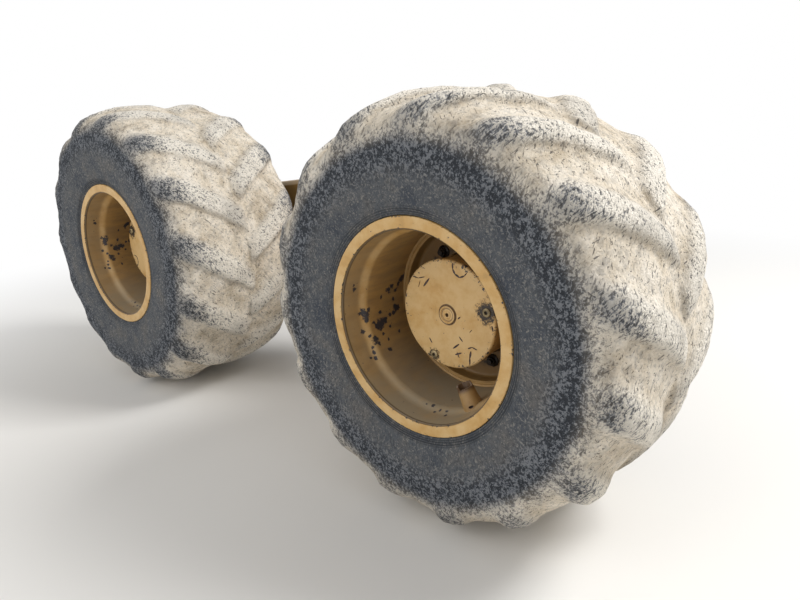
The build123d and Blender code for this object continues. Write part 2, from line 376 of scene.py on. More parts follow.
def fit_both(piece, place, body, slot, material, node=None):
    """Puts a copy of a piece at each end. The place is a function of the end, and so may the material be."""
    for end in WHEEL_TURN:
        copy = copied(piece, place(end), f"{end}_{piece.name}")
        fit(copy, body.format(end), slot, material(end) if callable(material) else material,
            *([f"{node}_{end}"] if node else []))
    bpy.data.objects.remove(piece)


def fit_wheels(piece, slot, material, node=None):
    """Puts a copy of a wheel's piece in each wheel."""
    fit_both(piece, wheel_place, "{}_wheel", slot, material, node)


# Tyres

# Outside of the casing: (along from the rim's face, radius)
BEAD = [(0.0243, 0.3373), (0.0243, 0.3664), (0.0060, 0.3668)]
SIDEWALL = [
    (0.0060, 0.3668), (0.0006, 0.3716), (-0.0040, 0.3880), (-0.0110, 0.4220), (-0.0168, 0.4620),
    (-0.0193, 0.5000),
    (-0.0198, 0.5300),
]
TREAD_FLOOR = [
    (-0.0198, 0.5300), (-0.0172, 0.5720), (-0.0080, 0.6080), (0.0110, 0.6420), (0.0668, 0.6770),
    (0.1789, 0.7020),
    (0.3500, 0.7070),
]
INSIDE = [(0.0683, 0.3373), (0.0300, 0.4500), (0.0100, 0.5300), (0.0300, 0.6000), (0.1600, 0.6720)]
TYRE_FACE = -0.020
TYRE_MIDDLE = 0.350
TYRE_LIMIT = 0.7462
# How much of its depth a lug has, by the distance climbed over the casing from its widest line
LUG_CLIMB = (0.0, 0.030, 0.060, 0.090, 0.120, 0.160, 0.300, 0.400, 0.440, 0.470)
LUG_HEIGHT = (0.0, 0.03, 0.12, 0.33, 0.64, 0.93, 1.0, 0.92, 0.80, 0.60)


def flowing(points, spacing):
    """Points along a smooth curve through the given ones, no further apart than spacing."""
    places = [Vector((x, y)) for x, y in points]
    leans = []
    for i, place in enumerate(places):
        before, after = places[max(i - 1, 0)], places[min(i + 1, len(places) - 1)]
        leans.append((after - before) / ((after - place).length + (place - before).length))
    line = [places[0]]
    for start, finish, lean, next_lean in zip(places, places[1:], leans, leans[1:]):
        chord = (finish - start).length
        line += spline(start, finish, lean * chord, next_lean * chord, math.ceil(chord / spacing))
    return [tuple(point) for point in line]


def spline(start, finish, leave, arrive, count):
    """Points of a cubic between two places, after the first."""
    line = []
    for step in range(1, count + 1):
        t = step / count
        line.append(start * (2 * t ** 3 - 3 * t ** 2 + 1) + leave * (t ** 3 - 2 * t ** 2 + t)
                    + finish * (3 * t ** 2 - 2 * t ** 3) + arrive * (t ** 3 - t ** 2))
    return line


def smoothstep(low, high, value):
    share = np.clip((value - low) / (high - low), 0, 1)
    return share * share * (3 - 2 * share)


def noise_field(places, size, seed):
    """Noise from -1 to 1 at each place, with features of the given size."""
    shift = Vector((seed, -seed, 0.5 * seed))
    return np.array([noise.noise(Vector(place) / size + shift) for place in places])


def worn_tyre(end):
    """A hollow casing spun from its section, whose lugs are then raised, worn and torn."""
    sizes = bpy.context.scene.bogie_tyre
    outer = BEAD + flowing(SIDEWALL, 0.013)[1:] + flowing(TREAD_FLOOR, 0.0072)[1:]
    half = outer + [(2 * TYRE_MIDDLE - along, radius) for along, radius in reversed(outer[:-1])]
    hollow = [(2 * TYRE_MIDDLE - along, radius) for along, radius in INSIDE] + INSIDE[::-1]
    piece = turned(f"{end}_tyre", [(along, radius, 0) for along, radius in half + hollow], sizes.steps, 80)
    raise_lugs(piece, end, sizes)
    return piece


def raise_lugs(piece, end, sizes):
    """Moves the tread out to its lugs, and records where the rubber is tread, lug and torn."""
    mesh = piece.data
    seed = WHEEL_SEED[end]
    flat = np.empty(3 * len(mesh.vertices))
    mesh.vertices.foreach_get("co", flat)
    places = flat.reshape(-1, 3)
    along, radius = places[:, 1].copy(), np.hypot(places[:, 0], places[:, 2])
    angle = np.arctan2(places[:, 2], places[:, 0])

    # where each point is on the casing: in from the nearer sidewall, and up from the widest line
    inset = TYRE_MIDDLE - TYRE_FACE - np.abs(along - TYRE_MIDDLE)
    line = np.array(flowing(TREAD_FLOOR, 0.002))
    line_inset = line[:, 0] - TYRE_FACE
    line_climb = np.concatenate([[0], np.cumsum(np.hypot(*np.diff(line, axis=0).T))])
    floor = np.interp(inset, line_inset, line[:, 1])
    climb = np.interp(inset, line_inset, line_climb)
    lean = np.interp(inset, line_inset, np.gradient(line[:, 1], line[:, 0]))
    outside = (radius > floor - 0.004) & (radius > 0.529)

    # one lug's cross section is steep on its leading side and slopes on the other, less so at the shoulder
    soft = 1 - smoothstep(0.06, 0.22, climb)
    wander = 0.007 * noise_field(places, 0.070, seed) + 0.0035 * noise_field(places, 0.026, seed + 5)
    pitch = 2 * math.pi / sizes.lugs
    height = np.zeros(len(places))
    for inboard in (0, 1):
        luck = np.random.default_rng(2 * seed + inboard)
        wear, shift = luck.uniform(0.84, 1.0, sizes.lugs), luck.uniform(-0.007, 0.007, sizes.lugs)
        side = (along > TYRE_MIDDLE) == bool(inboard)
        over = np.where(side, 1.0, smoothstep(-0.020, 0.0, -np.abs(along - TYRE_MIDDLE)))
        turn = angle - sizes.lug_turn - inboard * pitch / 2 + sizes.lug_sweep * inset / (TYRE_MIDDLE - TYRE_FACE)
        nearest = np.round(turn / pitch)
        lug = nearest.astype(int) % sizes.lugs
        across = (turn - nearest * pitch) * radius + shift[lug] + wander
        steep = smoothstep(
            -sizes.lug_top / 2 - 0.032 - 0.014 * soft, -sizes.lug_top / 2 + 0.024 + 0.006 * soft, across)
        slope = 1 - smoothstep(sizes.lug_top / 2 - 0.040 - 0.004 * soft, sizes.lug_foot / 2 + 0.030, across)
        reach = np.interp(climb, LUG_CLIMB, LUG_HEIGHT) * over
        height = np.maximum(height, wear[lug] * steep * slope * reach)
    height *= outside
    worn = WHEEL_WEAR[end]
    left_over = worn * np.interp(climb, LUG_CLIMB, LUG_HEIGHT) * outside + (1 - worn) * height

    patches = noise_field(places, 0.13, seed + 9)
    wall = (np.abs(along - TYRE_MIDDLE) > 0.352) & (radius > 0.43)
    up = np.where(outside, climb, radius - 0.530) - (0.035 if end == "rear" else 0.0)
    raised = smoothstep(0.1, 0.7, height)
    on_lug = smoothstep(-0.080, 0.040, up) * (1 - 0.35 * smoothstep(0.20, 0.40, up))
    in_groove = smoothstep(-0.080, 0.040, up) * (1 - 0.8 * smoothstep(0.080, 0.125, up))
    torn = in_groove + (on_lug - in_groove) * raised
    torn = np.clip(torn + 0.30 * patches * smoothstep(-0.05, 0.04, up), 0, 1) * (outside | wall)
    pale_lug, pale_groove = smoothstep(0.050, 0.280, up), smoothstep(0.040, 0.145, up)
    tread = pale_groove + (pale_lug - pale_groove) * raised
    tread = np.clip(tread + 0.90 * patches * tread * (1 - tread), 0, 1) * (outside | wall)

    lumps = 0.0030 * noise_field(places, 0.120, seed + 2) + 0.0016 * noise_field(places, 0.045, seed + 3)
    tears = 0.0026 * noise_field(places, 0.024, seed + 4) * torn * smoothstep(0.0, 0.05, climb)
    step = (sizes.tread_depth * left_over + lumps * smoothstep(0.02, 0.10, climb) + tears) * outside
    tilt = np.stack([-lean, np.ones_like(lean)], axis=1)
    tilt /= np.linalg.norm(tilt, axis=1)[:, None]
    outboard = np.where(along < TYRE_MIDDLE, 1.0, -1.0)
    new_radius = np.minimum(radius + step * tilt[:, 1], TYRE_LIMIT)
    outermost = TYRE_FACE + 0.0004
    new_along = np.clip(along + step * tilt[:, 0] * outboard, outermost, 2 * TYRE_MIDDLE - outermost)
    moved = np.stack([new_radius * np.cos(angle), new_along, new_radius * np.sin(angle)], axis=1)
    mesh.vertices.foreach_set("co", np.where(outside[:, None], moved, places).ravel())
    mesh.update()
    for name, values in (("lug", height), ("torn", torn), ("tread", tread)):
        mesh.attributes.new(name, "FLOAT", "POINT").data.foreach_set("value", values.astype(np.float32))


# Rims, discs and hubs

# The rim's inside, in from its outer face: the seat's end and the well's start; and the seat's thickness
SEAT_END = 0.080
WELL_START = 0.105
SEAT_WALL = 0.014


def inside_radius(in_by):
    """Radius of the rim's inside at a distance in from its face."""
    sizes = bpy.context.scene.bogie_wheel
    well, seat = sizes.bead_seat - sizes.well_depth, sizes.bead_seat - SEAT_WALL
    return float(np.interp(in_by, (0, SEAT_END, WELL_START), (seat, seat - 0.004, well)))


def rim():
    """One-piece rim: flanges with a fine step round the mouth, tapered seats, slopes and well."""
    sizes = bpy.context.scene.bogie_wheel
    seat, flange = sizes.bead_seat, sizes.bead_seat + sizes.flange_height
    well = sizes.bead_seat - sizes.well_depth
    inner = seat - SEAT_WALL
    width = 2 * TYRE_MIDDLE
    front = [
        (WELL_START, well, 0.012),
        (SEAT_END, inner - 0.004, 0.012),
        (0.0060, inner - 0.0010, 0.0012),
        (0.0045, inner + 0.0032, 0.0006),
        (0.0, inner + 0.0042, 0.0010),
        (0.0, flange, 0.0035),
        (sizes.flange_width, flange, 0.003),
        (sizes.flange_width, seat, 0.002),
        (0.086, seat - 0.004, 0.004),
        (0.117, well + 0.012, 0.006),
    ]
    back = [(width - along, radius, rounding) for along, radius, rounding in reversed(front)]
    return turned("rim", front + back, steps=160)


def wheel_disc():
    """Dished disc whose skirt is welded into the well, with the weld's bead round its edge."""
    sizes = bpy.context.scene.bogie_wheel
    edge, face, back = sizes.disc_edge, sizes.disc_face, sizes.disc_face + sizes.disc_thickness
    well = sizes.bead_seat - sizes.well_depth
    skirt = well - 0.019
    bore = sizes.hub_radius + 0.001
    return turned("wheel_disc", [
        (back, bore, 0.001),
        (face, bore, 0.002),
        (face, skirt, 0.013),
        (edge, skirt, 0.002),
        (edge, well - 0.0085, 0.001),
        (edge - 0.0035, well - 0.0070, 0.002),
        (edge - 0.0060, well + 0.0010, 0.0005),
        (back, well + 0.0010, 0.001),
    ], steps=128)


def wheel_nut():
    """A nut on its washer, with the end of the stud."""
    sizes = bpy.context.scene.bogie_wheel
    across = sizes.nut_width
    corner = across / math.sqrt(3)
    tall = 0.62 * across
    nut = six_sided(turned("nut", [
        (0, 0, 0), (0, corner, 0), (-tall + 0.005, corner, 0), (-tall, 0.47 * across, 0), (-tall, 0, 0)],
        steps=30), across)
    washer = turned("washer", [
        (0, 0, 0), (0, 0.024, 0), (-0.004, 0.024, 0.001), (-0.008, 0.016, 0.001), (-0.008, 0, 0)], steps=30)
    stud = turned("stud", [
        (0, 0, 0), (0, 0.0108, 0), (-tall - 0.009, 0.0108, 0.002), (-tall - 0.009, 0, 0)], steps=20)
    return joined("wheel_nut", [nut, washer, stud])


def hub():
    """Drum of the planetary hub, with its flange behind the disc."""
    sizes = bpy.context.scene.bogie_wheel
    front = sizes.hub_face + 0.015
    back = sizes.disc_face + sizes.disc_thickness
    return turned("hub", [
        (front, 0, 0),
        (front, sizes.hub_radius, 0.003),
        (front + 0.028, sizes.hub_radius, 0.001),
        (front + 0.031, sizes.hub_radius - 0.006, 0.002),
        (back, sizes.hub_radius - 0.006, 0.001),
        (back, 0.246, 0.003),
        (back + 0.028, 0.246, 0.003),
        (back + 0.028, 0.165, 0.004),
        (back + 0.055, 0.165, 0.003),
        (back + 0.055, 0.092, 0.002),
        (back + 0.010, 0.092, 0),
        (back + 0.010, 0, 0),
    ], steps=128)


# Gouges in the hub cover, in millimetres from the axle: x and z of each end, width
GOUGES = [
    (24, 183, 25, 163, 5), (25, 163, 34, 147, 6), (34, 147, 53, 138, 6), (53, 138, 71, 146, 5),
    (71, 146, 82, 158, 3),
    (66, 183, 100, 170, 2),
    (-151, 114, -122, 111, 3), (-124, 111, -94, 120, 3), (-115, 105, -124, 78, 2), (-101, 85, -75, 117, 6),
    (83, -105, 99, -96, 4), (98, -96, 120, -101, 4), (95, -112, 90, -138, 6), (90, -136, 90, -162, 5),
    (47, -69, 62, -85, 4), (21, -118, 47, -96, 5), (29, -139, 57, -126, 5), (37, -128, 46, -146, 4),
    (-81, -100, -70, -118, 4), (90, -46, 100, -34, 2), (43, -7, 53, 2, 4), (177, -5, 182, -23, 5),
]
# Plugs in the hub cover: distance from the axle, angle
PLUGS = [("level", 0.162, math.radians(13)), ("drain", 0.168, math.radians(-111))]


def gouge(x, z, end_x, end_z, width, face):
    """A lens-shaped cutter that lies half sunk in the cover's face."""
    deselect_all()
    start, finish = Vector((x, 0, z)) / 1000, Vector((end_x, 0, end_z)) / 1000
    run = finish - start
    bpy.ops.mesh.primitive_uv_sphere_add(segments=10, ring_count=6, radius=1)
    piece = bpy.context.object
    lean = math.atan2(run.z, run.x)
    piece.data.transform(
        Matrix.Translation((start + finish) / 2 + Vector((0, face, 0)))
        @ Matrix.Rotation(-lean, 4, "Y")
        @ Matrix.Diagonal((run.length / 2 + width / 3000, 0.0026, width / 1500, 1)))
    return piece


def hub_cover():
    """Flat cover with a chamfered edge and a stepped boss, gouged and scarred."""
    sizes = bpy.context.scene.bogie_wheel
    face = sizes.hub_face
    cover = turned("hub_cover", [
        (face + 0.0075, 0, 0),
        (face + 0.0075, 0.0065, 0.0004),
        (face - 0.0042, 0.0065, 0.0008),
        (face - 0.0042, 0.0125, 0.0012),
        (face - 0.0010, 0.0150, 0.0008),
        (face - 0.0010, 0.0245, 0.0008),
        (face - 0.0048, 0.0265, 0.0012),
        (face - 0.0048, 0.0310, 0.0014),
        (face + 0.0018, 0.0335, 0.0006),
        (face + 0.0018, 0.0355, 0.0004),
        (face, 0.0372, 0.0006),
        (face, 0.1875, 0.0022),
        (face + 0.0045, 0.192, 0.0015),
        (face + 0.015, 0.192, 0.0006),
        (face + 0.015, 0, 0),
    ], steps=160)
    cover.data.materials.append(None)
    gouges = joined("gouges", [gouge(*row, face) for row in GOUGES])
    gouges.data.materials.append(dark_scar())
    return smoothed(cut(cover, gouges, overlapping=True), 25)


def hub_plug(name, distance, angle):
    """A screwed plug with a six-sided socket."""
    face = bpy.context.scene.bogie_wheel.hub_face
    plug = turned(f"hub_{name}_plug", [
        (0.005, 0, 0), (0.005, 0.0150, 0), (-0.0035, 0.0150, 0.001), (-0.0060, 0.0118, 0.001),
        (-0.0060, 0, 0)],
        steps=40)
    socket = turned("socket", [(-0.012, 0, 0), (-0.012, 0.01, 0), (0.0035, 0.01, 0), (0.0035, 0, 0)], steps=24)
    cut(plug, six_sided(socket, 0.0124))
    plug.data.transform(Matrix.Translation(around(face, distance, angle)))
    return smoothed(plug)


GUARD_ANGLE = math.radians(-61)
GUARD_DEPTH = 0.118
GUARD_FOOT = 0.320
# The side of the guard that looks out of the rim, in its own frame
GUARD_FRONT = math.radians(138)


def stood_on_rim():
    """From a piece that stands along Y, foot at zero, to the valve guard's place on the rim."""
    return (Matrix.Rotation(-GUARD_ANGLE, 4, "Y") @ Matrix.Translation((GUARD_FOOT, GUARD_DEPTH, 0))
            @ Matrix.Rotation(math.radians(90), 4, "Z"))


def valve_guard():
    """A tapered tube, torn open at the top and low on the front, with a drain notch at its foot."""
    tall, low = 0.0948, 0.0735
    guard = turned("valve_guard", [
        (0, 0.0200, 0), (0, 0.0352, 0), (0.55 * tall, 0.0300, 0), (low, 0.0284, 0), (low + 0.003, 0.0268, 0),
        (low + 0.008, 0.0272, 0), (tall, 0.0262, 0.002), (tall, 0.0205, 0.0015), (0.80 * tall, 0.0200, 0),
        (0.45 * tall, 0.0192, 0)], steps=96)
    for vertex in guard.data.vertices:
        # torn down to the low line on the front, and unevenly all round
        angle = math.atan2(vertex.co.z, vertex.co.x)
        front = 0.5 + 0.5 * math.cos(angle - GUARD_FRONT)
        ragged = noise.noise(Vector((2.6 * math.cos(angle), 2.6 * math.sin(angle), 4.0)))
        fine = noise.noise(Vector((9.0 * math.cos(angle), 9.0 * math.sin(angle), 1.0)))
        share = max(0.0, (vertex.co.y - low - 0.001) / (tall - low - 0.001))
        drop = 0.017 * min(1.0, max(0.0, 2.6 * front - 0.9)) + 0.006 * max(0.0, ragged) + 0.0022 * (fine + 0.5)
        vertex.co.y -= share * min(drop, 0.0185)
        lean = 1 + share * (0.05 * ragged + 0.03 * fine)
        vertex.co.x *= lean
        vertex.co.z *= lean
    deselect_all()
    bpy.ops.mesh.primitive_uv_sphere_add(segments=16, ring_count=8, radius=0.0075)
    notch = bpy.context.object
    low_on_front = Matrix.Translation(around(0.016, 0.0335, math.radians(152)))
    notch.data.transform(low_on_front @ Matrix.Diagonal((1, 0.6, 1.3, 1)))
    notch.data.materials.append(dark_scar())
    cut(guard, notch)
    guard.data.transform(stood_on_rim())
    sunk = 0.001
    inside = [(depth, inside_radius(depth) + sunk, 0) for depth in (-0.01, 0, SEAT_END, WELL_START, 0.25)]
    room = turned("room", [(-0.01, 0, 0), *inside, (0.25, 0, 0)], steps=160)
    return smoothed(cut(guard, room, "INTERSECT"), 35)


def valve():
    """Valve stem with a nut at its foot and a cap."""
    stem = turned("valve", [
        (0.014, 0, 0), (0.014, 0.0165, 0.001), (0.024, 0.0165, 0.001), (0.024, 0.0085, 0.001),
        (0.052, 0.0085, 0.0005),
        (0.052, 0.0065, 0.0005), (0.056, 0.0065, 0.0005), (0.056, 0.0080, 0.001), (0.072, 0.0076, 0.002),
        (0.072, 0, 0)], steps=32)
    stem.data.transform(stood_on_rim())
    return stem


# Fixed pieces of the bogie

# Thickness of the hub carrier's flange, and the radii of the circles of bolts
CARRIER_FLANGE = 0.028
CARRIER_CIRCLE = 0.2185
END_COVER_CIRCLE = 0.153
CENTRE_COVER_CIRCLE = 0.181


def hub_carrier():
    """Spindle housing: seal collar, barrel, brake housing and flange, from the hub to the case."""
    sizes = bpy.context.scene.bogie_wheel
    low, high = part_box("hub_carrier_front")
    collar = sizes.disc_face + sizes.disc_thickness + 0.055 + 0.006
    seat = high.y - axle_point("front").y
    flange = seat - CARRIER_FLANGE
    brake = flange - 0.125
    return turned("hub_carrier", [
        (low.y - axle_point("front").y, 0, 0),
        (low.y - axle_point("front").y, 0.088, 0.002),
        (collar, 0.088, 0.002),
        (collar, 0.178, 0.004),
        (collar + 0.040, 0.178, 0.005),
        (collar + 0.070, 0.150, 0.012),
        (brake - 0.030, 0.150, 0.012),
        (brake, 0.204, 0.006),
        (brake + 0.040, 0.204, 0.002),
        (brake + 0.043, 0.200, 0.002),
        (brake + 0.052, 0.200, 0.002),
        (brake + 0.055, 0.204, 0.002),
        (flange, 0.204, 0.006),
        (flange, 0.236, 0.003),
        (seat, 0.236, 0.002),
        (seat, 0, 0),
    ], steps=128)


def gear_case():
    """The case's own mesh, merged, with its edges rounded as a casting's are."""
    deselect_all()
    piece = frame["nodes"]["gear_case"].copy()
    piece.data = frame["nodes"]["gear_case"].data.copy()
    piece.parent = None
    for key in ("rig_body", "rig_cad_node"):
        if key in piece:
            del piece[key]
    bpy.context.collection.objects.link(piece)
    piece.name = "cast_gear_case"
    choose(piece)
    bpy.ops.object.mode_set(mode="EDIT")
    bpy.ops.mesh.select_all(action="SELECT")
    bpy.ops.mesh.remove_doubles(threshold=1e-5)
    bpy.ops.mesh.dissolve_limited(angle_limit=math.radians(0.5))
    close_surface()
    bevel = piece.modifiers.new("Edges", "BEVEL")
    bevel.width = bpy.context.scene.bogie_case.edge
    bevel.segments = 3
    bevel.limit_method = "ANGLE"
    bevel.angle_limit = math.radians(35)
    bpy.ops.object.modifier_apply(modifier=bevel.name)
    return smoothed(piece)


def end_cover():
    """Stepped plate, its seat at zero and its face towards +Y."""
    return turned("end_cover", [
        (0, 0, 0), (0, 0.176, 0.001), (0.018, 0.176, 0.003), (0.018, 0.128, 0.002), (0.021, 0.125, 0.001),
        (0.0275, 0.1056, 0.006), (0.0275, 0.022, 0.003), (0.0235, 0.018, 0.002), (0.0235, 0, 0)], steps=96)


def centre_cover():
    """Domed cap, its seat at zero and its crown towards -Y."""
    return turned("centre_cover", [
        (0, 0, 0), (0, 0.198, 0.001), (-0.014, 0.198, 0.003), (-0.014, 0.164, 0.006), (-0.046, 0.1148, 0.016),
        (-0.046, 0.030, 0.002), (-0.042, 0.026, 0.002), (-0.042, 0, 0)], steps=112)


def bearing_ring():
    """Flat ring round the trunnion, its seat at zero."""
    return turned("bearing_ring", [
        (0, 0.124, 0.001), (0, 0.212, 0.001), (0.012, 0.212, 0.002), (0.012, 0.150, 0.001),
        (0.0095, 0.148, 0.001),
        (0.0095, 0.126, 0.001)], steps=112)


def axle_flange():
    """Bolted flange on its tapered neck."""
    neck = -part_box("axle_flange")[0].y
    plate = turned("axle_flange", [
        (0, 0, 0), (0, 0.070, 0.001), (-0.003, 0.073, 0.001), (-0.003, 0.085, 0.001), (0, 0.088, 0.001),
        (0, 0.240, 0.003), (-0.036, 0.240, 0.003), (-0.036, 0.172, 0.014), (-neck, 0.150, 0.003),
        (-neck, 0, 0)],
        steps=128)
    drill = turned("drill", [(-0.05, 0, 0), (-0.05, 0.0165, 0), (0.01, 0.0165, 0), (0.01, 0, 0)], steps=40)
    drills = ring_of("drills", drill, 8, 0.200, math.radians(22.5))
    return smoothed(cut(plate, drills))


def oil_plug():
    """Hexagon plug on a round collar, its top towards -Y."""
    head = six_sided(turned("plug_head", [
        (0, 0, 0), (0, 0.0205, 0), (-0.012, 0.0205, 0), (-0.0158, 0.0170, 0), (-0.0158, 0, 0)], steps=30),
        0.034)
    collar = turned("collar", [(0, 0, 0), (0, 0.0207, 0), (-0.005, 0.0207, 0.001), (-0.005, 0, 0)], steps=30)
    return joined("oil_plug", [head, collar])


def breather():
    """Hexagon foot and a round vented cap, standing along Y from zero."""
    foot = six_sided(turned("foot", [
        (0, 0, 0), (0, 0.0135, 0), (0.014, 0.0135, 0.001), (0.014, 0, 0)], steps=30), 0.0225)
    cap = turned("cap", [
        (0.014, 0, 0), (0.014, 0.0065, 0), (0.022, 0.0065, 0), (0.022, 0.0118, 0.001), (0.040, 0.0118, 0.004),
        (0.0455, 0.005, 0.001), (0.0455, 0, 0)], steps=36)
    return joined("breather_cap", [foot, cap])


# Materials

def per_metre(size):
    """A pattern's scale for features of that many millimetres."""
    return 1000 / size


def add_node(tree, kind, *inputs, stops=(), out=0, **settings):
    """Adds a node with its settings, stops and links, and returns one of its outputs.

    Inputs are listed in the node's own order, or given by their names, which start with a capital.
    """
    node = tree.nodes.new("ShaderNode" + kind)
    named = {name: value for name, value in settings.items() if name[0].isupper()}
    for name, value in settings.items():
        if name not in named:
            setattr(node, name, value)
    for key, value in [*enumerate(inputs), *named.items()]:
        if isinstance(value, bpy.types.NodeSocket):
            tree.links.new(value, node.inputs[key])
        else:
            node.inputs[key].default_value = value
    for number, (place, colour) in enumerate(stops):
        ramp = node.color_ramp.elements
        element = ramp[number] if number < 2 else ramp.new(place)
        element.position, element.color = place, colour
    return node.outputs[out]


def link(value, socket):
    value.id_data.links.new(value, socket)


def new_material(name, **surface):
    """A material with a principled surface, whose uniform inputs are set on their sockets."""
    material = bpy.data.materials.new(name)
    material.use_nodes = True
    shader = material.node_tree.nodes["Principled BSDF"]
    for key, value in surface.items():
        shader.inputs[key.replace("_", " ").title().replace("Ior", "IOR")].default_value = value
    return material, partial(add_node, material.node_tree), shader.inputs


def wheel_space(add, end):
    """Object coordinates in the wheel's own frame."""
    place = add("TexCoord", out=3)
    return add("Mapping", Vector=place, Location=axle_point(end), Rotation=(0, -WHEEL_TURN[end], 0),
        vector_type="TEXTURE")


def distance_from_axle(add, spot):
    flat = add("VectorMath", spot, (1, 0, 1), operation="MULTIPLY")
    return add("VectorMath", flat, out=1, operation="LENGTH")


def wheel_material(name, end, **settings):
    """A material for a wheel's piece, with its place in the wheel's frame and its distance from the axle."""
    material, add, surface = new_material(f"{name} {end}", **settings)
    spot = wheel_space(add, end)
    return material, add, surface, spot, distance_from_axle(add, spot), float(WHEEL_SEED[end])


def between(add, value, rise, fall, amount=1.0):
    """Rises from 0 to the amount over one span of the value, and falls to 0 again over another."""
    into = add("MapRange", value, *rise, 0.0, amount)
    return add("Math", into, add("MapRange", value, *fall), operation="MULTIPLY")


def strokes(add, spot, size, length):
    """Strokes that cross in three directions: the highest and the lowest of their values."""
    high = low = None
    for lean in ((0.4, 0.2, 0.9), (-0.7, 0.5, 2.1), (1.2, -0.4, -0.8)):
        run = add("Mapping", Vector=spot, Rotation=lean, Scale=(1, length, 1), vector_type="TEXTURE")
        stroke = add("TexNoise", Vector=run, Scale=per_metre(size), Detail=1.2, Distortion=0.9)
        high = stroke if high is None else add("Math", high, stroke, operation="MAXIMUM")
        low = stroke if low is None else add("Math", low, stroke, operation="MINIMUM")
    return high, low


def blots(add, spot, places, ragged):
    """Irregular spots, each at its place with its size, with edges as uneven as the ragged pattern."""
    near = None
    for place, size in places:
        gap = add("VectorMath", spot, place, out=1, operation="DISTANCE")
        inside = add("MapRange", gap, 0.0, 2 * size, 1.0, 0.0)
        near = inside if near is None else add("Math", near, inside, operation="MAXIMUM")
    edge = add("Math", ragged, 2.2, near, operation="MULTIPLY_ADD")
    return add("MapRange", edge, 1.50, 1.72)


